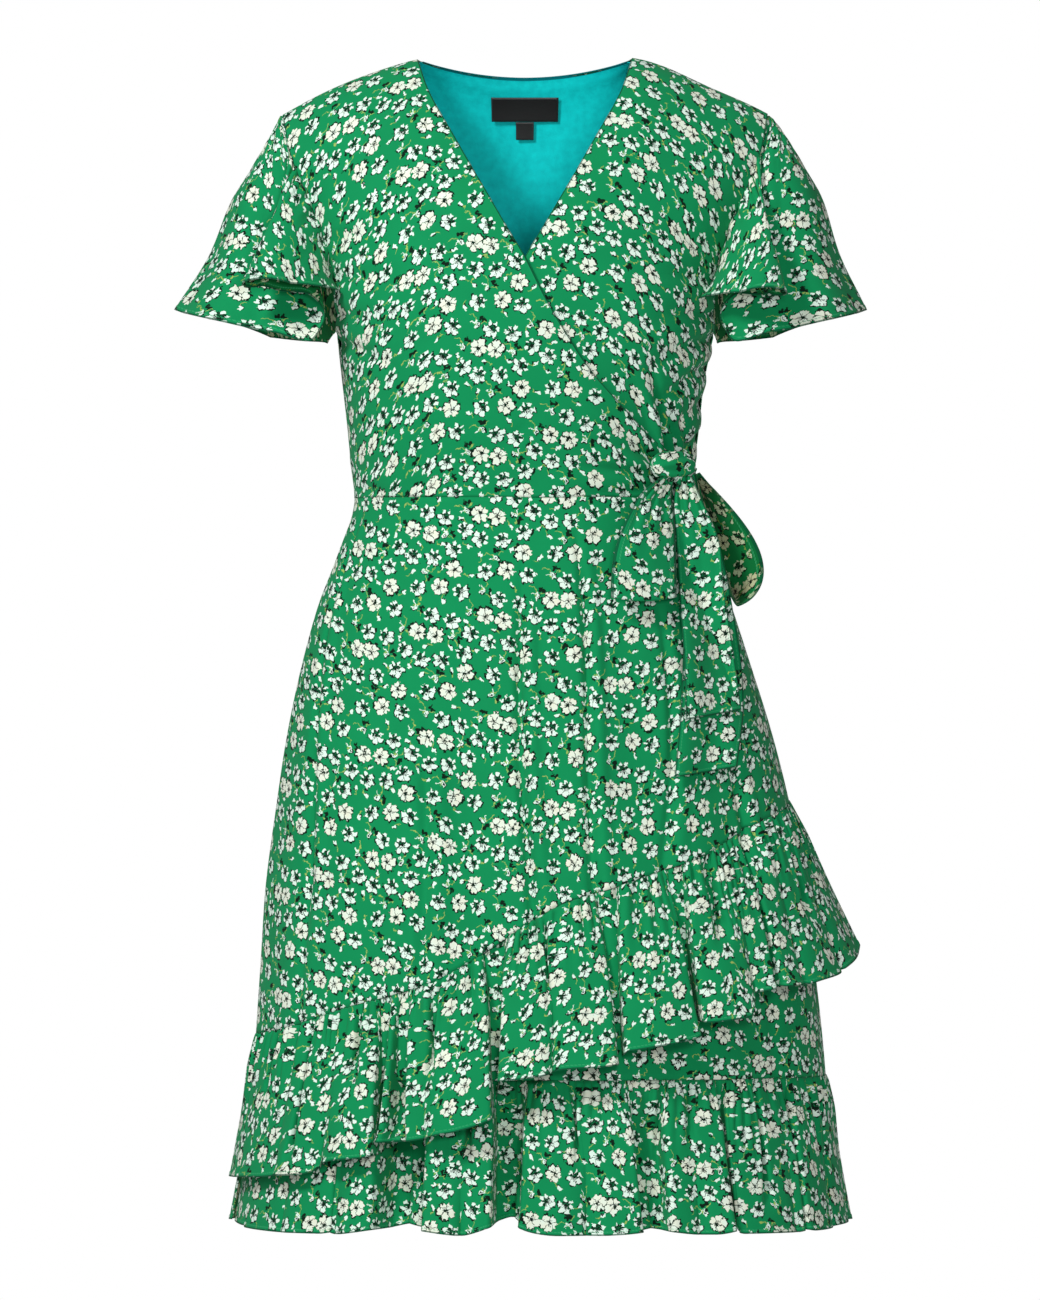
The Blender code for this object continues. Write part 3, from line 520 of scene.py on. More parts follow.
def creases(grid, table):
    """How far a table of drag lines moves a bodice grid in: soft troughs that widen and fade."""
    moved = 0.0
    for row, line in enumerate(rows_of(table)):
        turn = math.radians(line["turn"])
        x = grid[..., 0] - line["x"]
        z = grid[..., 2] - line["z"]
        along = (x * math.cos(turn) + z * math.sin(turn)) / line["length"]
        beside = z * math.cos(turn) - x * math.sin(turn) + 0.002 * np.sin(5 * along + row)
        width = line["half"] * (1 + 0.9 * np.clip(along, 0, 1))
        fade = ease(along, -0.12, 0.06) * (1 - ease(along, 0.25, 1.0))
        trough = hump(beside, width) - 0.45 * hump(beside - 1.7 * width, 1.3 * width)
        moved = moved + line["depth"] * fade * trough
    return moved


def soft_waves(grid, size):
    """Faint uneven rise and fall of worn cloth, by place."""
    x, z = grid[..., 0], grid[..., 2]
    return size * (np.sin(38 * x + 9 * z + 1) * np.sin(23 * z - 14 * x) + 0.5 * np.sin(71 * x - 33 * z))


# ---- Cloth meshes ---------------------------------------------------------------------------------

def lengths(grid, axis):
    """Running length of the cloth along an axis of its grid, from 0 at the first line."""
    steps = np.linalg.norm(np.diff(grid, axis=axis), axis=-1)
    start = np.zeros_like(np.take(steps, [0], axis))
    return np.concatenate([start, np.cumsum(steps, axis)], axis)


def cloth_place(grid, middle=None):
    """Where each point lies on flat cloth: its length from the middle column, and down from the top row."""
    along = lengths(grid, 1)
    if middle is None:
        middle = np.abs(grid[len(grid) // 2, :, 0]).argmin()
    return along - along[:, [middle]], grid[:1, :, 2] - lengths(grid, 0)


def piece_of(name, mesh, flat, edge):
    """Makes a mesh into a piece, with its place on flat cloth and its distance to the nearest hem."""
    corners = np.empty(len(mesh.loops), np.int32)
    mesh.loops.foreach_get("vertex_index", corners)
    layer = mesh.uv_layers.new(name="cloth")
    layer.data.foreach_set("uv", flat[corners].ravel())
    attribute = mesh.attributes.new("edge", "FLOAT", "POINT")
    attribute.data.foreach_set("value", edge)
    mesh.validate()
    piece = bpy.data.objects.new(name + "_cloth", mesh)
    bpy.context.scene.collection.objects.link(piece)
    return piece


def cloth(name, grid, place, edge=None, finish="printed", lift=LIFT, wall=CLOTH):
    """A thin closed shell of cloth: outer and inner copies of a grid, with a rim all round.

    place holds the two coordinates on the flat cloth, and edge the distance to the nearest hem.
    """
    rows, columns = grid.shape[:2]
    out = normals(grid)
    count = rows * columns
    both = np.concatenate([(grid + out * (lift + wall)).reshape(-1, 3), (grid + out * lift).reshape(-1, 3)])
    index = np.arange(count).reshape(rows, columns)
    outer = np.stack([index[:-1, :-1], index[1:, :-1], index[1:, 1:], index[:-1, 1:]], -1).reshape(-1, 4)
    ring = np.concatenate([index[:, 0], index[-1, 1:], index[::-1, -1][1:], index[0, ::-1][1:]])
    rim = np.stack([ring[1:], ring[:-1], ring[:-1] + count, ring[1:] + count], -1)
    faces = np.concatenate([outer, outer[:, ::-1] + count, rim])
    mesh = bpy.data.meshes.new(name + "_cloth")
    mesh.from_pydata(both.tolist(), [], faces.tolist())
    side = np.arange(len(faces)) // len(outer)         # 0 the right side, 1 the wrong side, then the rim
    mesh.polygons.foreach_set("use_smooth", side < 2)
    mesh.polygons.foreach_set("material_index", (side == 1).astype(np.int32))
    flat = np.stack(np.broadcast_arrays(*place), -1).reshape(-1, 2)
    far = np.full((rows, columns), 1.0) if edge is None else np.broadcast_to(edge, (rows, columns))
    piece = piece_of(name, mesh, np.tile(flat, (2, 1)), np.tile(far.ravel(), 2))
    for material in FINISHES[finish]:
        mesh.materials.append(material)
    return piece


def hem_rows(rows, length):
    """Shares of the way down for a grid's rows, with close rows for a hem band at the foot."""
    near = 1 - HEM_BAND / length * np.array(HEM_ROWS)
    return np.concatenate([np.linspace(0, near[0], rows - len(near) + 1), near[1:]])[:, None]


def hem_rise(distance):
    """How far a narrow rolled hem stands up, by the distance to its edge."""
    band = 1 - ease(distance, HEM_BAND * HEM_STEP[0], HEM_BAND * HEM_STEP[1])
    return HEM_HEIGHT * band * np.sqrt(ease(distance, *HEM_ROLL))


# ---- Panels of the dress --------------------------------------------------------------------------

def bodice_levels(rows):
    """Levels from the shoulder down to the waist, closer together where the shoulder rounds over."""
    below = rows // 2
    up = np.sin(np.linspace(np.pi / 2, 0, rows - below))
    down = -np.linspace(0, 1, below + 1)[1:]
    return np.concatenate([up, down])[:, None]


def wrap_edge(level):
    """Share of the half width at which a front's wrap edge crosses a level, above 0 on its own side."""
    return smooth(WRAP_EDGE, "height", "across", level_height(level))


def front_angles(side, columns, rows, reach):
    """Angles of a bodice front's grid, from its side seam to the wrap edge and no further than reach."""
    levels = bodice_levels(rows)
    share = np.append(np.linspace(0, 1 - WRAP_RIM, columns - 1), 1.0)[None, :]
    edge = np.degrees(np.arcsin(np.maximum(wrap_edge(levels), -reach)))
    angle = side * (90 + (edge - 90) * share)
    return angle if side < 0 else angle[:, ::-1]


def bodice_front(angle):
    """One bodice front, from its side seam and armhole to the wrap edge, by its grid's angles."""
    return bodice(np.sin(np.radians(angle)), bodice_levels(len(angle)) + 0 * angle, False)


def front_place(angle):
    """Where a bodice front lies on flat cloth: lengths round the form from its middle, and down it."""
    whole = np.linspace(-90, 90, 181)
    form = bodice_front(whole[None, :] + np.zeros((len(angle), 1)))
    along = lengths(form, 1)
    along = along - along[:, [90]]
    down = -lengths(form, 0)
    return (np.stack([np.interp(at, whole, row) for at, row in zip(angle, along)]),
            np.stack([np.interp(at, whole, row) for at, row in zip(angle, down)]))


def faced_edge(distance):
    """Distance to a turned edge that has no stitching: true at the rim, where its dark line of partly painted
    shade shows, and put out of reach beyond it.
    """
    return np.where(distance < FACED_RIM, distance, distance + NO_RIM)


def armhole_rim(grid, distance):
    """Distance to the armhole's seam on a bodice panel, given the distance to the panel's side. The dark rim
    line along the seam is painted shade.
    """
    return faced_edge(distance + NO_RIM * (grid[..., 2] < UNDERARM))


def neck_rim(grid):
    """Distance to the open neck's edge on a bodice back, out of reach where the shoulder seams are."""
    return lengths(grid, 0) + 2 * NO_RIM * (np.abs(grid[:1, :, 0]) > NECK_HALF)


def sunk_underlap(grid, angle):
    """The underlapping front, sunk in where the overlapping one covers it, except at its side seam."""
    levels = bodice_levels(len(grid))
    width = np.where(levels < 0, half_width(grid[..., 0], level_height(levels)), SHOULDER_HALF)
    covered = (-wrap_edge(levels) - grid[..., 0] / width) / UNDERLAP_BLEND + 2
    sink = np.clip(covered, 0, 1) * (levels < UNDERLAP_TOP) * ease(90 - angle, 0, UNDERLAP_SEAM)
    return moved_out(grid, -UNDERLAP_SINK * sink)


def back_neck(across):
    """Rise to which the bodice back reaches: the shoulder seam, and lower in the hollow of the neck."""
    neck = NECK_HALF / SHOULDER_HALF
    return 1 - BACK_NECK_DROP / -UNDERARM * np.clip(1 - (across / neck) ** 2, 0, 1)


def bodice_back(columns, rows):
    """The bodice back from side seam to side seam, up to the shoulder seams and the neck."""
    across = np.sin(np.radians(np.linspace(90, -90, columns)[None, :]))
    levels = bodice_levels(rows)
    reach = np.where(levels > 0, levels * back_neck(across), levels)
    return bodice(across + 0 * levels, reach, True)


def skirt(start, end, columns, rows, bottom, layer=None):
    """A skirt panel with its folds, from the waist down to a bottom edge given by angle.

    Layer 1 lies over and layer 0 under: at the waist both lie in the form, and below it one stands out.
    """
    angle = np.linspace(start, end, columns)[None, :]
    share = np.linspace(0, 1, rows)[:, None]
    grid = body(angle + 0 * share, WAIST + share * (bottom(angle) - WAIST))
    out = skirt_folds(angle, grid[..., 2]) * free_of_sides(angle)
    lower = np.clip((WAIST - grid[..., 2]) / LAYER_BLEND, 0, 1)
    if layer == 1:
        out = out + LAYER * lower * joined(angle, -90)
    if layer == 0:
        out = out + (LAYER * (lower - 1) - UNDER_CLEAR) * joined(angle, 90)
        out = out - LAYER * (1 - joined(angle, -90))
    return swept(grid, out)


def joined(angle, seam):
    """0 at a layer's own side seam, rising to 1 a few degrees away from it."""
    return ease(np.abs(angle - seam), 0, SIDE_JOIN)


def side_out(height):
    """How far the skirt and its level ruffle stand out along a side seam."""
    down = np.clip((RUFFLE_SEAM - height) / (RUFFLE_DEPTH - HEM_MEAN_LIFT - HEM_SIDE_LIFT), 0, 1.2)
    return PUFF * ease(down, 0, PUFF_RISE) + LEVEL_FLARE * down ** FLARE_GROWTH


def slant_seam(angle):
    """Height of the slanting ruffle's seam at an angle."""
    return smooth(SLANT, "angle", "height", angle)


def level_seam(angle):
    """Height of the level ruffle's seam, the same at every angle."""
    return np.full_like(angle, RUFFLE_SEAM)


def ruffle(angle, rows, seam, depth, soft, folds, flare, base_out, own_seam=None):
    """A gathered ruffle: it puffs out below its seam, flares, and its waves and folds grow towards the hem.

    At its own side seam, if that is given, it lies level with the ruffle at the back.
    """
    down = hem_rows(rows, float(np.mean(depth)))
    wave, wave_along = waves(soft, angle)
    grown = down ** WAVE_GROWTH
    fold, fold_along, lean, lift = pockets(folds, angle, down)
    wander = RUFFLE_WANDER * ripple(angle, 7, 60) * down * (1 - down)
    place = angle + wave_along * grown + fold_along + wander
    grid = body(place, seam - down * depth)
    skirt_out = skirt_folds(angle, seam) * free_of_sides(angle) * (1 - ease(down, 0.05, 0.6))
    moved = base_out + skirt_out + flare * down ** FLARE_GROWTH + wave * grown + fold + gathers(angle, down)
    moved = moved + PUFF * ease(down, 0, PUFF_RISE)
    moved = moved + RUFFLE_FLUTTER * ripple(angle, 19, 50 * down) * down * ease(down, 0.1, 0.6)
    if own_seam is not None:
        near = joined(angle, own_seam)
        moved = moved * near + side_out(seam - down * depth) * (1 - near)
    distance = (1 - down) * depth
    grid = swept(grid, moved + hem_rise(distance), lean * down, lift * down ** 3)
    # The rim at the seam carries the dark line of painted shade along the ruffle's seam.
    return grid, np.minimum(distance, faced_edge(down * depth))


def slant_ruffle(columns, rows):
    """The slanting ruffle below the overlapping front, flaring most at its corner on the left side."""
    angle = np.linspace(-90, 90, columns)[None, :]
    end = np.clip((angle - SLANT_END_ANGLES[0]) / (SLANT_END_ANGLES[1] - SLANT_END_ANGLES[0]), 0, 1) ** 2
    depth = np.interp(angle, SLANT_DEPTH["angle"], SLANT_DEPTH["depth"])
    return ruffle(angle, rows, slant_seam(angle), depth, SLANT_WAVES, SLANT_FOLDS,
                  SLANT_FLARE + SLANT_END_FLARE * end, LAYER, -90)


def level_ruffle(start, end, columns, rows):
    """Part of the level ruffle at the foot of the skirt, between two angles."""
    angle = np.linspace(start, end, columns)[None, :]
    lift = HEM_MEAN_LIFT + HEM_SIDE_LIFT * ease(np.abs((angle + 90) % 180 - 90), 55, 90)
    depth = RUFFLE_DEPTH - lift
    base = -(UNDER_CLEAR * joined(angle, 90) + LAYER * (1 - joined(angle, -90))) * (angle < 90)
    return ruffle(angle, rows, level_seam(angle), depth, LEVEL_WAVES, LEVEL_FOLDS, LEVEL_FLARE, base)


def armhole(turn, side):
    """The armhole seam from the front of the armhole (turn 0) over the shoulder (0.5) to the back (1)."""
    front_rise = SLEEVE_START + (1 - SLEEVE_START) * np.sin(np.pi * np.minimum(turn, 0.5))
    back_rise = SLEEVE_END + (1 - SLEEVE_END) * np.sin(np.pi * np.maximum(turn, 0.5))
    whole = np.full_like(turn, float(side))
    front = bodice(whole, front_rise, False)
    return np.where((turn < 0.5)[..., None], front, bodice(whole, back_rise, True))


def sleeve(side, columns, rows):
    """A flutter sleeve: arched lines from the armhole seam to the folded free hem, with growing waves.

    Each line is a parabola: from its seam point, drawn towards a raised middle point, to its hem point.
    """
    at = np.linspace(0, 1, columns)
    seam = armhole(at, side)
    hem = np.stack([smooth(SLEEVE_HEM, "turn", axis, at) for axis in "xyz"], -1)
    front = 1 - ease(at, *SLEEVE_FRONT_TURNS)
    hem[:, 0] *= side * SLEEVE_REACH[side] * (1 + (SLEEVE_FRONT[side][0] - 1) * front)
    hem[:, 2] -= SLEEVE_FRONT[side][1] * front
    length = np.linalg.norm(hem - seam, axis=-1, keepdims=True)
    seam = seam + (hem - seam) / length * SLEEVE_CLEAR
    arch = (seam + hem) / 2 + np.array([0, 0, SLEEVE_LIFT]) * length
    down = hem_rows(rows, float(length.mean()))
    far = down[..., None]
    grid = (1 - far) ** 2 * seam + 2 * far * (1 - far) * arch + far ** 2 * hem
    distance = (1 - down) * length[None, :, 0]
    count, height, reach = SLEEVE_GATHERS
    gathered = height * np.sin(2 * np.pi * (count * at + 0.4 * np.sin(31 * at)))
    outer = ease(at, *SLEEVE_OUTER[:2]) * (1 - ease(at, *SLEEVE_OUTER[2:]))
    factor, exponent = SLEEVE_CAP_ROUND
    moved = waves(SLEEVE_WAVES, at)[0] * down ** SLEEVE_GROWTH + hem_rise(distance)
    moved = moved + gathered * (1 - ease(down, 0.0, reach))
    moved = moved - SLEEVE_HOLLOW[0] * outer * hump(down - SLEEVE_HOLLOW[1], SLEEVE_HOLLOW[2])
    moved = moved + SLEEVE_CAP[side] * outer * factor * down ** exponent * (1 - down)
    moved = moved - SLEEVE_FOLD[0] * hump(at - SLEEVE_FOLD[1], SLEEVE_FOLD[2]) * ease(down, *SLEEVE_FOLD_DOWN)
    if side < 0:
        grid, moved, distance = grid[:, ::-1], moved[:, ::-1], distance[:, ::-1]
    return moved_out(grid, moved), distance


# ---- The bow --------------------------------------------------------------------------------------

def skirt_depth(x, height):
    """How far forward of the middle plane the form reaches at a distance across and a height."""
    across = x / half_width(x, height)
    return smooth(FORM, "height", "front", height) * oval(across)


def strip_edge(share, width):
    """Distance to the nearer long edge of a strip."""
    return np.minimum(share, 1 - share) * width


def pinched(share, top, folds):
    """Folds lengthwise in a strip where the knot gathers it, fading away from there."""
    return PLEAT_HEIGHT * top * np.sin(2 * np.pi * folds * share + 0.7)


def loop_front(columns, rows):
    """The bow's front loop: a band that hangs over the skirt, turns at its foot and goes back up."""
    along = np.linspace(0, 1, rows)[:, None]
    share = np.linspace(0, 1, columns)[None, :]
    top, foot = FRONT_LOOP["height"][-1], FRONT_LOOP["height"][0]
    height = foot + (top - foot) * np.abs(np.cos(np.pi * along)) ** LOOP_FOLD
    inner = smooth(FRONT_LOOP, "height", "inner", height)
    outer = smooth(FRONT_LOOP, "height", "outer", height)
    x = inner + (outer - inner) * share
    height = height + 0 * x
    near = ease(height, foot + 0.02, top)
    over = np.cos(np.pi * along)
    full = LOOP_FULL[0] * np.sin(np.pi * share) ** LOOP_FULL[1] * (1 - near) * np.maximum(over, 0) ** 0.5
    apart = LOOP_CLEAR[1] * over * (LOOP_OPEN[0] - LOOP_OPEN[1] * near)
    clearance = LOOP_CLEAR[0] + apart + full + pinched(share, near, LOOP_PLEATS)
    sag = LOOP_SAG * np.sin(np.pi * share) * (1 - near)
    grid = points(x, -skirt_depth(x, height) - clearance, height - sag)
    return grid, strip_edge(share, RIM_WIDTHS[0]) + 0 * along


def loop_side(columns, rows):
    """The bow's side loop: a drop-shaped band beyond the side of the waist, narrower at its back edge."""
    along = np.linspace(SIDE_LOOP_ENDS, 1 - SIDE_LOOP_ENDS, rows)[:, None]
    share = np.linspace(0, 1, columns)[None, :]
    root, tip = np.array(SIDE_LOOP_ROOT), np.array(SIDE_LOOP_TIP)
    line = tip - root
    length = np.linalg.norm(line)
    outwards = np.array([-line[1], line[0]]) / length
    swing = np.sin(2 * np.pi * along)
    bulge = np.where(swing > 0, SIDE_LOOP_BULGE[0], SIDE_LOOP_BULGE[1]) * swing
    size = 1 + (SIDE_LOOP_BACK - 1) * share
    bulge = bulge * (1 + (SIDE_LOOP_FUNNEL - 1) * share ** SIDE_LOOP_NARROWS)
    near = ease(np.abs(along - 0.5), 0.32, 0.5)
    bulge = bulge + SIDE_LOOP_PLEATS[0] * np.sin(2 * np.pi * SIDE_LOOP_PLEATS[1] * share) * near
    x = root[0] + size * (line[0] * np.sin(np.pi * along) + outwards[0] * bulge)
    z = root[1] + size * (line[1] * np.sin(np.pi * along) + outwards[1] * bulge)
    depth = SIDE_LOOP_DEPTHS[0] + (SIDE_LOOP_DEPTHS[1] - SIDE_LOOP_DEPTHS[0]) * share
    return points(x, -depth + 0 * x, z), strip_edge(share, RIM_WIDTHS[1]) + 0 * along


def tail(table, columns, rows, clearance):
    """A free end of the tie, hanging from the knot and lying on the skirt where it reaches it."""
    share = np.linspace(0, 1, columns)[None, :]
    top, foot = table["height"][-1], table["height"][0]
    down = hem_rows(rows, top - foot)
    height = top + (foot - top) * down
    inner = smooth(table, "height", "inner", height)
    outer = smooth(table, "height", "outer", height)
    x = inner + (outer - inner) * share
    height = height + TAIL_SLANT * (share - 0.5) * down + 0 * x
    own = smooth(table, "height", "depth", height)
    near = 1 - ease(down, 0.0, 0.55)
    wave = TAIL_WAVE[0] * np.sin(np.pi * (TAIL_WAVE[1] * share + TAIL_WAVE[2])) * ease(down, 0.25, 1.0)
    wave = wave + pinched(share, near, TAIL_PLEATS)
    base = np.maximum(own, skirt_depth(x, height) + clearance)
    distance = np.minimum((1 - down) * (top - foot), strip_edge(share, RIM_WIDTHS[2]))
    return points(x, -base - wave, height), distance


def band(columns, rows):
    """The short stretch of the tie from the knot round to the side seam, with folds along it."""
    angle = np.linspace(*BAND_ANGLES, columns)[None, :]
    across = np.linspace(0.5, -0.5, rows)[:, None]
    height = BOW_HEIGHT + BAND_WIDTH * across * (1 + 0.15 * ripple(angle, 6))
    folds = BAND_FOLDS[0] * np.cos(2 * np.pi * BAND_FOLDS[1] * across)
    sewn = ease(angle, BAND_SEWN, BAND_ANGLES[1])
    clearance = BAND_CLEAR[0] + folds + (BAND_CLEAR[1] - BAND_CLEAR[0] - 0.6 * folds) * sewn
    return swept(body(angle, height), clearance)


def knot(columns, rows):
    """The tie's knot: a flattened ball whose cloth is folded lengthwise, closed at its two ends."""
    round_it = np.linspace(0, 2 * np.pi, columns, endpoint=False)[None, :]
    along = np.linspace(0, np.pi, rows)[1:-1, None]
    folds = 1 + KNOT_FOLDS[1] * np.sin(KNOT_FOLDS[0] * round_it + 1.5 * np.cos(along)) * np.sin(along)
    full = np.sin(along) ** 0.7 * folds
    x = KNOT_SIZE[0] * np.cos(along) + 0 * round_it
    y = KNOT_SIZE[1] * full * np.cos(round_it)
    z = KNOT_SIZE[2] * full * np.sin(round_it)
    turn = math.radians(KNOT_TURN)
    c, s = math.cos(turn), math.sin(turn)
    return points(x * c - y * s, x * s + y * c, z) + np.array(KNOT_PLACE)


def knot_piece(name, grid):
    """A closed mesh from the knot's rings of points, with one point at each end, placed on flat cloth."""
    rows, columns = grid.shape[:2]
    index = np.arange(rows * columns).reshape(rows, columns)
    beside = np.roll(index, -1, 1)
    sides = np.stack([index[:-1], index[1:], beside[1:], beside[:-1]], -1).reshape(-1, 4)
    first, last = rows * columns, rows * columns + 1
    start = [[first, a, b] for a, b in zip(index[0], beside[0])]
    end = [[last, b, a] for a, b in zip(index[-1], beside[-1])]
    ends = np.stack([grid[0].mean(0), grid[-1].mean(0)])
    ends = ends + (ends - grid.reshape(-1, 3).mean(0)) * KNOT_ENDS
    mesh = bpy.data.meshes.new(name + "_cloth")
    mesh.from_pydata(np.concatenate([grid.reshape(-1, 3), ends]).tolist(), [], sides.tolist() + start + end)
    mesh.shade_smooth()
    width, round_it = KNOT_FLAT
    across = np.append(np.repeat(np.linspace(0, width, rows), columns), [0.0, width])
    around = np.append(np.tile(np.linspace(0, round_it, columns), rows), [0.0, 0.0])
    piece = piece_of(name, mesh, np.stack([across, around], -1), np.ones(len(mesh.vertices)))
    mesh.materials.append(FINISHES["printed"][0])
    return piece


# ---- Shader terms ---------------------------------------------------------------------------------

class Term:
    """One output of a shader node, with the arithmetic that joins it to others."""

    def __init__(self, tree, socket):
        self.tree = tree
        self.socket = socket

    def __add__(self, other):
        return number(self.tree, "ADD", self, other)

    def __sub__(self, other):
        return number(self.tree, "SUBTRACT", self, other)

    def __rsub__(self, other):
        return number(self.tree, "SUBTRACT", other, self)

    def __mul__(self, other):
        return number(self.tree, "MULTIPLY", self, other)

    def __truediv__(self, other):
        return number(self.tree, "DIVIDE", self, other)


def plug(tree, socket, value):
    """Gives a node's input a value: another node's output, or a plain number, place or colour."""
    if isinstance(value, Term):
        tree.links.new(value.socket, socket)
    else:
        socket.default_value = value


def number(tree, operation, *values):
    """A Math node."""
    node = tree.nodes.new("ShaderNodeMath")
    node.operation = operation
    for socket, value in zip(node.inputs, values):
        plug(tree, socket, value)
    return Term(tree, node.outputs[0])


def vector(tree, operation, *values):
    """A Vector Math node: its vector, or its number where the operation gives one."""
    node = tree.nodes.new("ShaderNodeVectorMath")
    node.operation = operation
    for socket, value in zip(node.inputs, values):
        plug(tree, socket, value)
    gives_number = operation in ("LENGTH", "DOT_PRODUCT", "DISTANCE")
    return Term(tree, node.outputs["Value" if gives_number else "Vector"])


def mixed(tree, kind, share, low, high, blend="MIX"):
    """A Mix node for numbers (FLOAT), places (VECTOR) or colours (RGBA)."""
    first, out = {"FLOAT": (2, 0), "VECTOR": (4, 1), "RGBA": (6, 2)}[kind]
    node = tree.nodes.new("ShaderNodeMix")
    node.data_type = kind
    if kind == "RGBA":
        node.blend_type = blend
    plug(tree, node.inputs[0], share)
    plug(tree, node.inputs[first], low)
    plug(tree, node.inputs[first + 1], high)
    return Term(tree, node.outputs[out])


def hypot(x, y):
    """Length of the diagonal of x and y."""
    return number(x.tree, "SQRT", number(x.tree, "MULTIPLY_ADD", x, x, y * y))


def less(low, high):
    """1 where low is below high, and 0 elsewhere."""
    tree = (low if isinstance(low, Term) else high).tree
    return number(tree, "LESS_THAN", low, high)


def either(one, other):
    """The larger of two terms."""
    return number(one.tree, "MAXIMUM", one, other)


def size_of(term):
    """The term without its sign."""
    return number(term.tree, "ABSOLUTE", term)


def group(name, inputs, outputs):
    """A shader node group with named inputs and outputs. Gives its tree, its inputs and its output node."""
    tree = bpy.data.node_groups.new(name, "ShaderNodeTree")
    for title, kind, value in inputs:
        socket = tree.interface.new_socket(title, in_out="INPUT", socket_type=kind)
        if value is not None:
            socket.default_value = value
    for title, kind in outputs:
        tree.interface.new_socket(title, in_out="OUTPUT", socket_type=kind)
    source = tree.nodes.new("NodeGroupInput")
    given = {title: Term(tree, source.outputs[title]) for title, _, _ in inputs}
    return tree, given, tree.nodes.new("NodeGroupOutput")


def noise(tree, place, scale, detail, output="Fac"):
    """A Noise Texture on two coordinates."""
    node = tree.nodes.new("ShaderNodeTexNoise")
    node.noise_dimensions = "2D"
    plug(tree, node.inputs["Vector"], place)
    plug(tree, node.inputs["Scale"], scale)
    node.inputs["Detail"].default_value = detail
    return Term(tree, node.outputs[output])


def flat_place(x, y):
    """A place from its two coordinates."""
    node = x.tree.nodes.new("ShaderNodeCombineXYZ")
    plug(x.tree, node.inputs[0], x)
    plug(x.tree, node.inputs[1], y)
    return Term(x.tree, node.outputs[0])


def both_of(place):
    """The two coordinates of a place."""
    node = place.tree.nodes.new("ShaderNodeSeparateXYZ")
    plug(place.tree, node.inputs[0], place)
    return Term(place.tree, node.outputs[0]), Term(place.tree, node.outputs[1])


def painted_over(colour, *paints):
    """A colour with paints laid over it one after the other, each given as its mask and its colour."""
    for mask, paint in paints:
        colour = mixed(mask.tree, "RGBA", mask, colour, paint)
    return colour


# ---- The flower print -----------------------------------------------------------------------------

# The print repeats across and up the cloth by REPEAT millimetres, and the repeat leans by SHEAR: across for
# each millimetre up, and up for each millimetre across. Motifs stand at these places in it.
REPEAT = (56.0, 85.0)
SHEAR = (-0.035, 0.261)
BLOOMS = ((8.5, 69.5), (22.5, 63.5), (42.5, 28.5), (28.5, 17.5))
FANS = ((36.5, 73.5), (51.5, 59.5), (8.5, 48.5), (25.5, 43.5),
        (10.5, 21.5), (45.5, 9.5), (20.5, 81.5), (42.5, 45.5))
SPRIGS = ((37.5, 59.5), (53.5, 76.5), (19.5, 31.5), (9.5, 5.5))
PETALS = ((13.5, 57.5), (33.5, 51.5), (54.5, 44.5), (55.5, 20.5),
          (7.5, 35.5), (31.5, 4.5), (32.5, 33.5), (48.5, 69.5))
ANY_WAY = 6.2              # angles, in radians, over which motifs are turned by chance: blooms and petals
FAN_SWING = 2.8
SPRIG_SWING = (3.0, 0.2)   # and the angle round which sprigs are turned
WOBBLE = 4.2               # how far the outlines stray, in mm
STROKE = 0.34              # half the width of a stem
PETAL_WHITE = (0.73, 0.90, 0.79, 1.0)
PETAL_CREAM = (0.80, 0.79, 0.62, 1.0)
INK = (0.001, 0.014, 0.006, 1.0)
STEM_LIME = (0.34, 0.48, 0.11, 1.0)
GREEN = (0.002, 0.255, 0.084, 1.0)
# Dark line along every rim: partly the narrow rolled hem's own darker edge, partly painted shade along seams,
# turned edges and the bow's outlines
RIM_LINE_AND_SHADE_GREEN = (0.001, 0.07, 0.03, 1.0)
THREAD_GREEN = (0.05, 0.40, 0.17, 1.0)
PLAIN_DYE = (1.0, 1.0, 1.0, 1.0)
# The wrong side: duller and yellower, partly its own colour and partly painted shade.
WRONG_SIDE_DYE_AND_SHADE = (0.62, 0.60, 0.42, 1.0)
TEAL_DEEP = (0.0005, 0.54, 0.56, 1.0)
TEAL_PALE = (0.004, 0.80, 0.80, 1.0)
TEAL_BINDING = (0.0, 0.20, 0.23, 1.0)
LABEL_BLACK = (0.010, 0.010, 0.011, 1.0)
LABEL_FOLD = (0.022, 0.022, 0.024, 1.0)
STITCH = (0.0026, 0.0026, 0.68)        # hem stitches: distance from the edge, length, share of thread
THREAD_HALF = 0.00035      # half widths of the thread and of the groove that it lies in
GROOVE_HALF = 0.0009
RIM_WIDTH = 0.0011         # width of the dark line along a cloth's rim: partly the rolled hem's own darker edge, partly painted shade along seams and edges
BINDING_WIDTH = 0.0028     # width of the lining's bound edge


def nearest(place, centres):
    """Offset from the nearest of a kind's centres, all of them repeated over the cloth."""
    tree = place.tree
    best = least = None
    for x, y in centres:
        low = (x - REPEAT[0] / 2, y - REPEAT[1] / 2, -1.0)
        high = (x + REPEAT[0] / 2, y + REPEAT[1] / 2, 1.0)
        offset = vector(tree, "SUBTRACT", vector(tree, "WRAP", place, high, low), (x, y, 0.0))
        size = vector(tree, "LENGTH", offset)
        if best is None:
            best, least = offset, size
        else:
            best = mixed(tree, "VECTOR", less(size, least), best, offset)
            least = number(tree, "MINIMUM", size, least)
    return best


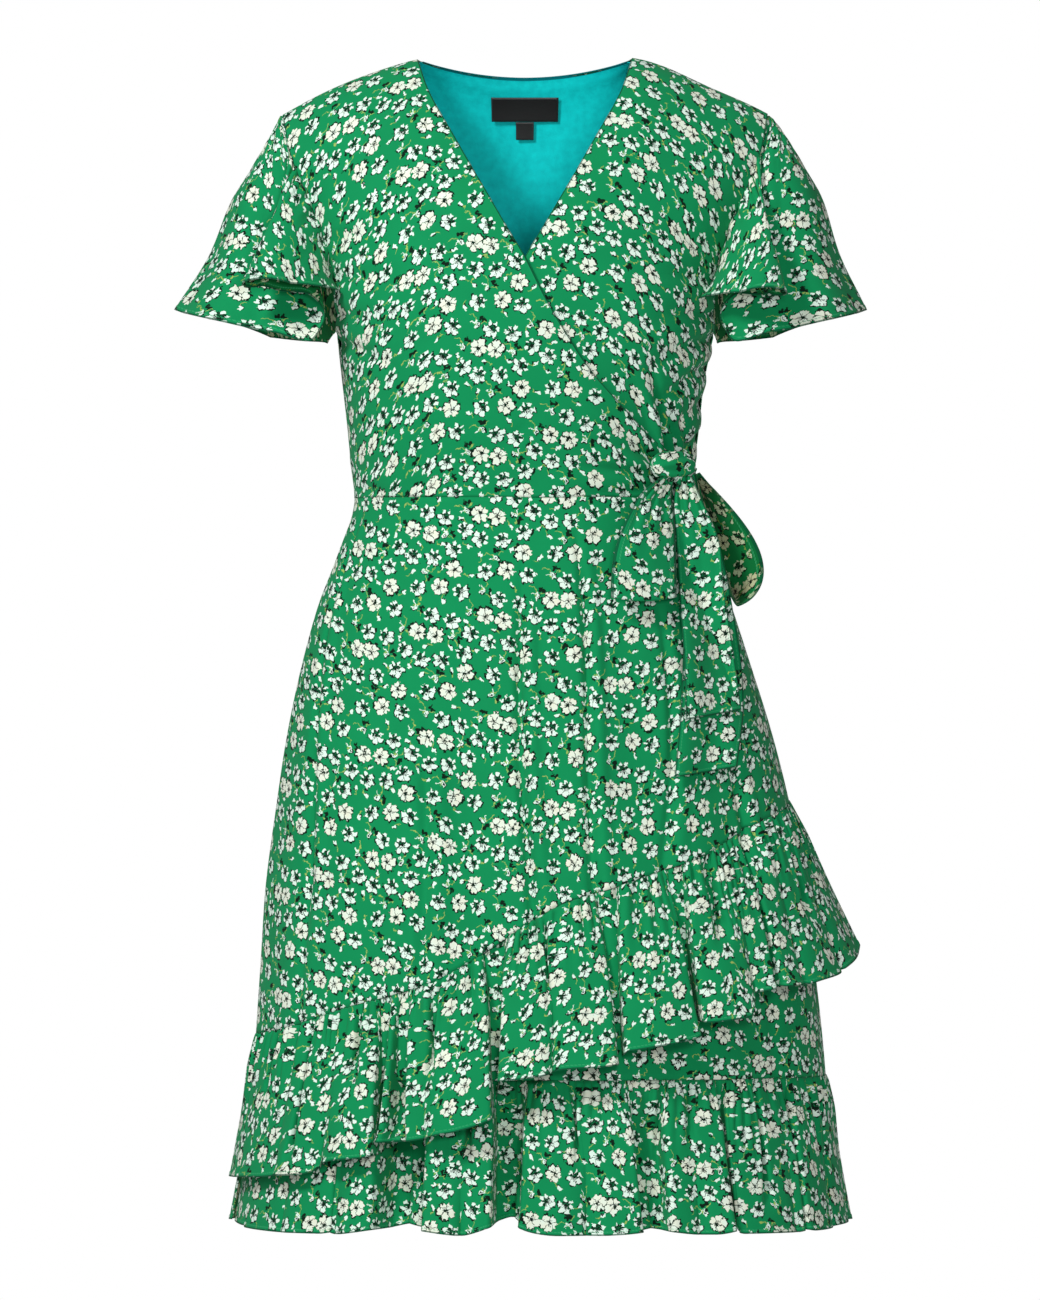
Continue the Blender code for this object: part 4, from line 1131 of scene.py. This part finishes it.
def motif_place(place, centres, spread, start=0.0):
    """Coordinates in the nearest motif of a kind, turned by its own random angle. All in millimetres."""
    tree = place.tree
    offset = nearest(place, centres)
    home = vector(tree, "ADD", vector(tree, "SUBTRACT", place, offset), (0.25, 0.25, 0.25))
    chance = tree.nodes.new("ShaderNodeTexWhiteNoise")
    chance.noise_dimensions = "2D"
    plug(tree, chance.inputs["Vector"], vector(tree, "FLOOR", home))
    turned = tree.nodes.new("ShaderNodeVectorRotate")
    turned.rotation_type = "Z_AXIS"
    plug(tree, turned.inputs["Vector"], flat_place(vector(tree, "DOT_PRODUCT", offset, (1.0, SHEAR[0], 0.0)),
                                                   vector(tree, "DOT_PRODUCT", offset, (SHEAR[1], 1.0, 0.0))))
    plug(tree, turned.inputs["Angle"], (Term(tree, chance.outputs["Value"]) - 0.5) * spread + start)
    return both_of(Term(tree, turned.outputs[0]))


def lobes(angle, count, shift=0.0):
    """1 along the middle of each petal and 0 between two, as the cosine of the angle."""
    return size_of(number(angle.tree, "COSINE", angle * (count / 2) + shift))


def bloom(x, y):
    """A flower seen from the front: notched petals, with strokes between them and at its heart."""
    tree = x.tree
    reach = hypot(x, y)
    angle = number(tree, "ARCTAN2", y, x)
    lobe = lobes(angle, 5)
    outline = number(tree, "POWER", lobe, 0.5) * 3.8 + 3.65 - number(tree, "POWER", lobe, 16.0) * 1.2
    outline = outline * (number(tree, "COSINE", angle) * 0.16 + 1.0)
    petals = less(reach, outline)
    shadow = less(reach, outline + number(tree, "COSINE", angle + 0.8) * 0.8 + 0.95)
    strokes = less(lobe * reach, 0.85) * less(reach, 5.0)
    veins = less(lobes(angle, 5, 1.25) * reach, 0.42) * less(reach, 3.1)
    return petals, shadow, either(either(strokes, veins), less(reach, 1.2))


def fan(x, y):
    """A flower seen from the side: petals spread below its heart, small curled ones above, dark between."""
    tree = x.tree
    reach = hypot(x, y)
    turn = number(tree, "ARCTAN2", x, y * -1.0)
    low = less(size_of(turn), 1.3)
    lobe = lobes(turn, 5.8)
    outline = number(tree, "POWER", lobe, 0.4) * 3.7 + 3.55
    petals = less(reach, outline) * low
    curls = less(size_of(reach - 4.6), lobe * 3.3 - 1.5) * (1.0 - low)
    curl_shadow = less(size_of(reach - 3.8), lobe * 3.3 - 0.6) * (1.0 - low)
    shadow = either(less(reach, outline + 1.2) * low, curl_shadow)
    strokes = less(lobe * reach, 0.85) * less(reach, 4.8)
    veins = less((1.0 - lobe) * reach, 0.15) * less(reach, 3.4) * low
    return either(petals, curls), shadow, either(either(strokes, veins), less(reach, 1.35))


def ellipse(x, y, centre, radii, turn):
    """1 inside an ellipse with that centre, radii and turn in degrees."""
    c, s = math.cos(math.radians(turn)), math.sin(math.radians(turn))
    along = x * (c / radii[0]) + y * (s / radii[0]) - (centre[0] * c + centre[1] * s) / radii[0]
    beside = y * (c / radii[1]) - x * (s / radii[1]) - (centre[1] * c - centre[0] * s) / radii[1]
    return less(hypot(along, beside), 1.0)


def arc(x, y, centre, radius, half, start, end):
    """1 on a stroke along a circle, between two places across it."""
    across = x - centre[0]
    ring = less(size_of(hypot(across, y - centre[1]) - radius), half)
    return ring * less(start, across) * less(across, end)


def flower_print():
    """The group that paints the print: white flowers, buds, dark leaves and lime stems on a ground colour."""
    tree, given, result = group("Flower print", [
        ("Place", "NodeSocketVector", None),
        ("Ground", "NodeSocketColor", GREEN),
        ("White", "NodeSocketColor", PETAL_WHITE),
        ("Cream", "NodeSocketColor", PETAL_CREAM),
        ("Ink", "NodeSocketColor", INK),
        ("Stem", "NodeSocketColor", STEM_LIME),
    ], [("Colour", "NodeSocketColor")])
    ink, lime, white = given["Ink"], given["Stem"], given["White"]
    flat = vector(tree, "MULTIPLY", given["Place"], (1 / MM, 1 / MM, 0.0))
    stray = vector(tree, "SUBTRACT", noise(tree, flat, 0.40, 1.6, "Color"), (0.5, 0.5, 0.5))
    drawn = vector(tree, "ADD", flat, vector(tree, "MULTIPLY", stray, (WOBBLE, WOBBLE, 0.0)))
    scale = 1.0 / (1.0 - SHEAR[0] * SHEAR[1])
    place = flat_place(vector(tree, "DOT_PRODUCT", drawn, (scale, -SHEAR[0] * scale, 0.0)),
                       vector(tree, "DOT_PRODUCT", drawn, (-SHEAR[1] * scale, scale, 0.0)))

    x, y = motif_place(place, SPRIGS, *SPRIG_SWING)
    leaves = either(ellipse(x, y, (3.2, 2.6), (2.1, 1.5), 40), ellipse(x, y, (5.1, 0.2), (2.0, 1.4), -30))
    shadow = ellipse(x, y, (-1.0, -2.5), (2.9, 1.8), 52)
    bud = ellipse(x, y, (-1.5, -2.0), (2.6, 1.35), 52)
    heart = ellipse(x, y, (-1.5, -2.0), (1.3, 0.5), 52)
    stems = either(arc(x, y, (-6.0, 3.6), 5.2, STROKE, 1.4, 5.3) * less(-1.0, y),
                   arc(x, y, (3.0, -6.4), 5.0, STROKE, -1.0, 3.5) * less(-4.5, y))
    spray = arc(x, y, (-1.5, 7.0), 6.2, 0.45, -4.0, 1.2) * less(y, 3.4)
    colour = painted_over(given["Ground"], (either(leaves, shadow), ink), (stems, lime),
                          (either(bud, spray), white), (heart, ink))

    x, y = motif_place(place, PETALS, ANY_WAY)
    shadow = ellipse(x, y, (0.5, -0.5), (2.6, 1.5), 0)
    petal = ellipse(x, y, (0.0, 0.0), (2.4, 1.2), 0)
    stem = arc(x, y, (1.0, -5.2), 5.4, STROKE, 1.6, 4.6) * less(-3.0, y)
    colour = painted_over(colour, (shadow, ink), (petal, white), (stem, lime))

    cream = mixed(tree, "RGBA", noise(tree, flat, 0.16, 1.0), white, given["Cream"])
    for flower, centres, spread, paint in ((fan, FANS, FAN_SWING, white), (bloom, BLOOMS, ANY_WAY, cream)):
        petals, shadow, strokes = flower(*motif_place(place, centres, spread))
        colour = painted_over(colour, (shadow, ink), (petals, paint), (strokes, ink))
    plug(tree, result.inputs["Colour"], colour)
    return tree


def crepe_weave():
    """The group for the pebbled face of crepe: fine uneven grains, and a slow change of tone."""
    tree, given, result = group("Crepe weave", [
        ("Place", "NodeSocketVector", None),
        ("Grain", "NodeSocketFloat", 2200.0),
    ], [("Height", "NodeSocketFloat"), ("Tone", "NodeSocketFloat")])
    fine = noise(tree, given["Place"], given["Grain"], 2.0)
    slow = noise(tree, given["Place"], 26.0, 2.0)
    plug(tree, result.inputs["Height"], fine)
    plug(tree, result.inputs["Tone"], fine * 0.10 + slow * 0.16 + 0.87)
    return tree


def hem_stitches():
    """The group for a hem: a dashed line of thread in its groove, and the dark rim of the edge, partly the
    rolled hem's own tone and partly painted shade.
    """
    tree, given, result = group("Hem stitches", [
        ("Place", "NodeSocketVector", None),
        ("Edge", "NodeSocketFloat", 1.0),
        ("Distance", "NodeSocketFloat", STITCH[0]),
        ("Length", "NodeSocketFloat", STITCH[1]),
    ], [("Thread", "NodeSocketFloat"), ("Groove", "NodeSocketFloat"), ("Rim and shade", "NodeSocketFloat")])
    x, y = both_of(given["Place"])
    run = number(tree, "FRACT", (x + y) / given["Length"])
    off = size_of(given["Edge"] - given["Distance"])
    plug(tree, result.inputs["Thread"], less(off, THREAD_HALF) * less(run, STITCH[2]))
    plug(tree, result.inputs["Groove"], less(off, GROOVE_HALF))
    plug(tree, result.inputs["Rim and shade"], less(given["Edge"], RIM_WIDTH))
    return tree


def call(tree, used, **values):
    """Places a node group in a material. Gives its outputs by name."""
    node = tree.nodes.new("ShaderNodeGroup")
    node.node_tree = used
    for title, value in values.items():
        plug(tree, node.inputs[title], value)
    return {socket.name: Term(tree, socket) for socket in node.outputs}


def blank(name, roughness, sheen, specular):
    """A material with a Principled shader, its plain values set. Gives the material, its tree and shader."""
    made = bpy.data.materials.new(name)
    made.use_nodes = True
    shader = made.node_tree.nodes["Principled BSDF"]
    shader.inputs["Roughness"].default_value = roughness
    shader.inputs["Sheen Weight"].default_value = sheen
    shader.inputs["Sheen Roughness"].default_value = 0.5
    shader.inputs["Specular IOR Level"].default_value = specular
    return made, made.node_tree, shader


def bumped(tree, shader, height, strength, distance):
    """Joins a height to the shader's normal."""
    bump = tree.nodes.new("ShaderNodeBump")
    bump.inputs["Strength"].default_value = strength
    bump.inputs["Distance"].default_value = distance
    plug(tree, bump.inputs["Height"], height)
    tree.links.new(bump.outputs["Normal"], shader.inputs["Normal"])


def cloth_inputs(tree):
    """The piece's own place on flat cloth, and its distance to the nearest hem."""
    place = tree.nodes.new("ShaderNodeUVMap")
    place.uv_map = "cloth"
    edge = tree.nodes.new("ShaderNodeAttribute")
    edge.attribute_name = "edge"
    return Term(tree, place.outputs["UV"]), Term(tree, edge.outputs["Fac"])


def printed_crepe(name, groups, dye_and_shade, roughness):
    """Green crepe with the flower print. Its tint multiplies its colour: the wrong side is duller and
    yellower, partly its own colour and partly painted shade.
    """
    made, tree, shader = blank(name, roughness, 0.04, 0.12)
    place, edge = cloth_inputs(tree)
    printed = call(tree, groups["print"], Place=place)
    weave = call(tree, groups["weave"], Place=place)
    stitches = call(tree, groups["stitches"], Place=place, Edge=edge)
    dyed_and_shaded = mixed(tree, "RGBA", 1.0, printed["Colour"], dye_and_shade, "MULTIPLY")
    toned = mixed(tree, "RGBA", 1.0, dyed_and_shaded, weave["Tone"], "MULTIPLY")
    # The rim's dark line is partly the hem's own tone and partly painted shade; the thread is the stitching's
    # own colour.
    plug(tree, shader.inputs["Base Color"], painted_over(
        toned, (stitches["Rim and shade"] * 0.8, RIM_LINE_AND_SHADE_GREEN), (stitches["Thread"] * 0.55, THREAD_GREEN)))
    height = weave["Height"] * 0.4 + stitches["Thread"] * 0.7 - stitches["Groove"] * 0.5
    bumped(tree, shader, height, 0.35, 0.00025)
    return made


def teal_lining(groups):
    """Turquoise lining: smooth, mottled, with a darker bound edge at the neck."""
    made, tree, shader = blank("teal_lining", 0.7, 0.0, 0.12)
    place, edge = cloth_inputs(tree)
    weave = call(tree, groups["weave"], Place=place, Grain=1500.0)
    blotches = noise(tree, place, 150.0, 3.0)
    tone = mixed(tree, "RGBA", blotches, TEAL_DEEP, TEAL_PALE)
    colour = painted_over(tone, (less(edge, BINDING_WIDTH), TEAL_BINDING))
    plug(tree, shader.inputs["Base Color"], colour)
    bumped(tree, shader, weave["Height"] + blotches * 2.0, 0.30, 0.0004)
    return made


def black_label(groups):
    """Plain black woven satin, with a slightly lighter folded edge."""
    made, tree, shader = blank("black_label", 0.42, 0.0, 0.5)
    place, edge = cloth_inputs(tree)
    weave = call(tree, groups["weave"], Place=place, Grain=3000.0)
    folded = painted_over(LABEL_BLACK, (less(edge, RIM_WIDTH), LABEL_FOLD))
    toned = mixed(tree, "RGBA", 1.0, folded, weave["Tone"], "MULTIPLY")
    plug(tree, shader.inputs["Base Color"], toned)
    bumped(tree, shader, weave["Height"], 0.3, 0.0002)
    return made


groups = {"print": flower_print(), "weave": crepe_weave(), "stitches": hem_stitches()}
right_side = printed_crepe("printed_crepe", groups, PLAIN_DYE, 0.82)
# The wrong side's tint is partly its own duller colour and partly painted shade.
wrong_side = printed_crepe("printed_crepe_wrong_side", groups, WRONG_SIDE_DYE_AND_SHADE, 0.9)
lining_finish = teal_lining(groups)
label_finish = black_label(groups)
FINISHES = {
    "printed": (right_side, wrong_side),
    "lining": (lining_finish, lining_finish),
    "label": (label_finish, label_finish),
}


# ---- Making the dress -----------------------------------------------------------------------------

# Columns and rows of points in each grid.
GRIDS = {
    "bodice": (120, 110),
    "label": (25, 13),
    "skirt_front_overlap": (220, 90),
    "skirt_front_underlap": (160, 80),
    "skirt_back": (220, 100),
    "ruffle_front_overlap": (620, 40),
    "ruffle_front_underlap": (620, 38),
    "ruffle_back": (620, 38),
    "sleeve": (200, 48),
    "tie_knot": (72, 40),
    "tie_band": (40, 20),
    "tie_loop_front": (40, 110),
    "tie_loop_side": (34, 110),
    "tie_tail": (40, 80),
}
RUFFLE_RUN = -9            # rows of a ruffle's and a sleeve's grid whose own length the print follows
SLEEVE_RUN = 28
PRINT_SHIFTS = {"ruffle_front_overlap": 0.013, "ruffle_front_underlap": 0.031, "ruffle_back": 0.017}


def sew(piece, node):
    """Hangs a piece of cloth under the root, and hides the node that it stands for."""
    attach(piece, "root")
    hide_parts(node)


def make_fronts():
    """The overlapping and the underlapping front, each with a rim at its wrap edge and its armhole."""
    for name, side, reach, drag_lines in (("bodice_front_overlap", -1, 1.0, FRONT_CREASES),
                                          ("bodice_front_underlap", 1, UNDERLAP_REACH, UNDER_CREASES)):
        angle = front_angles(side, *GRIDS["bodice"], reach)
        front = bodice_front(angle)
        if side > 0:
            front = sunk_underlap(front, angle)
        front = moved_out(front, soft_waves(front, BODICE_UNEVEN) - creases(front, drag_lines))
        from_first = lengths(front, 1)
        from_last = from_first[:, -1:] - from_first
        from_seam, from_wrap = (from_first, from_last) if side < 0 else (from_last, from_first)
        # The dark rim lines at the wrap edge and along the armhole seam are partly the edge's own tone and
        # partly painted shade.
        edge = np.minimum(faced_edge(from_wrap), armhole_rim(front, from_seam))
        sew(cloth(name, front, front_place(angle), edge), name)


def make_back():
    """The bodice back, the lining inside it and the labels."""
    plain = bodice_back(*GRIDS["bodice"])
    back = moved_out(plain, soft_waves(plain, BODICE_UNEVEN) - creases(plain, BACK_CREASES))
    far = lengths(back, 1)
    # The dark rim lines along the armhole seams and the neck edge are partly the edge's own tone and partly
    # painted shade.
    edge = np.minimum(armhole_rim(back, np.minimum(far, far[:, -1:] - far)), faced_edge(neck_rim(back)))
    sew(cloth("bodice_back", back, cloth_place(back), edge), "bodice_back")
    hang = ease(lengths(plain, 0), 0.0, LINING_HANG)
    inwards = LINING_GAP + (LAYER - LINING_GAP) * hang
    lining = moved_out(plain, soft_waves(plain, LINING_UNEVEN) * hang - inwards)[:-1, 2:-2]
    open_neck = ease(NECK_HALF - np.abs(lining[:1, :, 0]), -0.002, 0.004)
    raised = LINING_RISE[0] * open_neck - LINING_RISE[1] * (1 - open_neck)
    lining[..., 2] += raised * (1 - hang[:-1, 2:-2])
    piece = cloth("bodice_back_lining", lining, cloth_place(lining), neck_rim(lining), "lining")
    sew(piece, "bodice_back_lining")
    for name in LABELS:
        make_label(name)


def make_label(name):
    """A small woven label on the inside of the back, two layers in from the back's own form."""
    half, top, foot = LABELS[name]
    columns, rows = GRIDS["label"]
    across = np.linspace(half, -half, columns)[None, :] / SHOULDER_HALF
    height = np.linspace(top, foot, rows)[:, None]
    rise = 1 - height / UNDERARM
    grid = moved_out(bodice(across + 0 * rise, rise + 0 * across, True), -2 * LAYER)
    along, down = lengths(grid, 1), lengths(grid, 0)
    edge = np.minimum(np.minimum(along, along[:, -1:] - along), np.minimum(down, down[-1:] - down))
    piece = cloth(name, grid, cloth_place(grid, columns // 2), edge, "label", 0.0, LABEL_WALL)
    sew(piece, name)


def make_skirt():
    """The skirt's panels."""
    for name, start, end, seam, layer in (("skirt_front_overlap", -90, 90, slant_seam, 1),
                                          ("skirt_front_underlap", -90, 90, level_seam, 0),
                                          ("skirt_back", 90, 270, level_seam, None)):
        panel = skirt(start, end, *GRIDS[name], seam, layer)
        sew(cloth(name, panel, cloth_place(panel)), name)


def run_place(grid, row, shift=0.0):
    """Where a gathered piece lies on flat cloth: the run of one row from its middle, and down it."""
    run = lengths(grid[[row]], 1)
    return run - run[:, [grid.shape[1] // 2]] + shift, shift - lengths(grid, 0)


def make_ruffles():
    """The slanting ruffle, and the level ruffle's front and back."""
    ruffles = {
        "ruffle_front_overlap": slant_ruffle(*GRIDS["ruffle_front_overlap"]),
        "ruffle_front_underlap": level_ruffle(-90, 90, *GRIDS["ruffle_front_underlap"]),
        "ruffle_back": level_ruffle(90, 270, *GRIDS["ruffle_back"]),
    }
    for name, (grid, distance) in ruffles.items():
        sew(cloth(name, grid, run_place(grid, RUFFLE_RUN, PRINT_SHIFTS[name]), distance), name)


def make_sleeves():
    """Both flutter sleeves."""
    for name, side in (("sleeve_right", -1), ("sleeve_left", 1)):
        grid, distance = sleeve(side, *GRIDS["sleeve"])
        sew(cloth(name, grid, run_place(grid, SLEEVE_RUN), distance), name)


def make_bow():
    """The knot, the short band beside it, two loops and two tails."""
    tie = knot_piece("tie_knot", knot(*GRIDS["tie_knot"]))
    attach(tie, "root")
    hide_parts("tie_knot")
    strap = band(*GRIDS["tie_band"])
    sew(cloth("tie_band", strap, cloth_place(strap, 0)), "tie_band")
    strips = {
        "tie_loop_front": loop_front(*GRIDS["tie_loop_front"]),
        "tie_loop_side": loop_side(*GRIDS["tie_loop_side"]),
        "tie_tail_front": tail(FRONT_TAIL, *GRIDS["tie_tail"], TAIL_CLEARS[0]),
        "tie_tail_back": tail(BACK_TAIL, *GRIDS["tie_tail"], TAIL_CLEARS[1]),
    }
    # The dark rim lines along each strip's edges are partly the hem's own tone and partly painted shade
    # outlining the loops and tails.
    for name, (grid, distance) in strips.items():
        sew(cloth(name, grid, (lengths(grid, 1), -lengths(grid, 0)), distance), name)


# ---- Floor, light and camera ----------------------------------------------------------------------

FLOOR = -1.38              # height of the floor under the wearer
CAMERA_AWAY = 12.0
VIEW_HEIGHT = 1.053        # height of the view at the dress
VIEW_MIDDLE = (-0.004, -0.478)         # x and z
FLOOR_RADIUS = 3.2
FLOOR_SIDES = 96
FLOOR_GREY = (0.86, 0.86, 0.86, 1.0)
WHITE = (1.0, 1.0, 1.0, 1.0)
SURROUND = 0.25            # strength of the white surround's light on the dress
LIGHTS = {                 # place, target, size and power of each
    "key": ((-1.5, -2.1, 1.5), (0, 0, -0.40), 0.6, 66),
    "front": ((0.4, -3.6, 0.0), (0, 0, -0.20), 0.6, 38),
}


def make_stage():
    """A wide pale floor disc."""
    turn = np.linspace(0, 2 * np.pi, FLOOR_SIDES, endpoint=False)
    ring = points(FLOOR_RADIUS * np.cos(turn), FLOOR_RADIUS * np.sin(turn), FLOOR)
    mesh = bpy.data.meshes.new("floor")
    mesh.from_pydata(ring.tolist(), [], [list(range(FLOOR_SIDES))])
    floor = bpy.data.objects.new("floor", mesh)
    bpy.context.scene.collection.objects.link(floor)
    made, _, shader = blank("floor", 0.9, 0.0, 0.1)
    shader.inputs["Base Color"].default_value = FLOOR_GREY
    mesh.materials.append(made)


def area_light(name, place, target, size, power):
    """A square soft light that faces a target."""
    lamp = bpy.data.lights.new(name, "AREA")
    lamp.size = size
    lamp.energy = power
    light = bpy.data.objects.new(name, lamp)
    light.location = place
    aim = np.array(target, float) - np.array(place, float)
    yaw = math.atan2(aim[1], aim[0]) - math.pi / 2
    pitch = math.atan2(aim[2], math.hypot(aim[0], aim[1])) + math.pi / 2
    light.rotation_euler = (pitch, 0.0, yaw)
    bpy.context.scene.collection.objects.link(light)


def make_light():
    """A white surround that lights the dress faintly, and the two soft lights."""
    world = bpy.data.worlds.new("studio")
    world.use_nodes = True
    tree = world.node_tree
    plain = tree.nodes["Background"]
    plain.inputs["Color"].default_value = WHITE
    plain.inputs["Strength"].default_value = SURROUND
    seen = tree.nodes.new("ShaderNodeBackground")
    seen.inputs["Color"].default_value = WHITE
    seen.inputs["Strength"].default_value = 1.0
    path = tree.nodes.new("ShaderNodeLightPath")
    blend = tree.nodes.new("ShaderNodeMixShader")
    tree.links.new(path.outputs["Is Camera Ray"], blend.inputs[0])
    tree.links.new(plain.outputs[0], blend.inputs[1])
    tree.links.new(seen.outputs[0], blend.inputs[2])
    tree.links.new(blend.outputs[0], tree.nodes["World Output"].inputs["Surface"])
    bpy.context.scene.world = world
    for name, (place, target, size, power) in LIGHTS.items():
        area_light(name, place, target, size, power)


def make_camera():
    """A long lens straight in front, level with the middle of the dress."""
    lens = bpy.data.cameras.new("camera")
    lens.sensor_width = 36.0
    lens.lens = lens.sensor_width * CAMERA_AWAY / VIEW_HEIGHT
    lens.clip_end = 100.0
    camera = bpy.data.objects.new("camera", lens)
    camera.location = (VIEW_MIDDLE[0], -CAMERA_AWAY, VIEW_MIDDLE[1])
    camera.rotation_euler = (math.pi / 2, 0.0, 0.0)
    bpy.context.scene.collection.objects.link(camera)
    bpy.context.scene.camera = camera
    bpy.context.scene.view_settings.view_transform = "Standard"


make_camera()
make_fronts()
make_back()
make_skirt()
make_ruffles()
make_sleeves()
make_bow()
make_stage()
make_light()
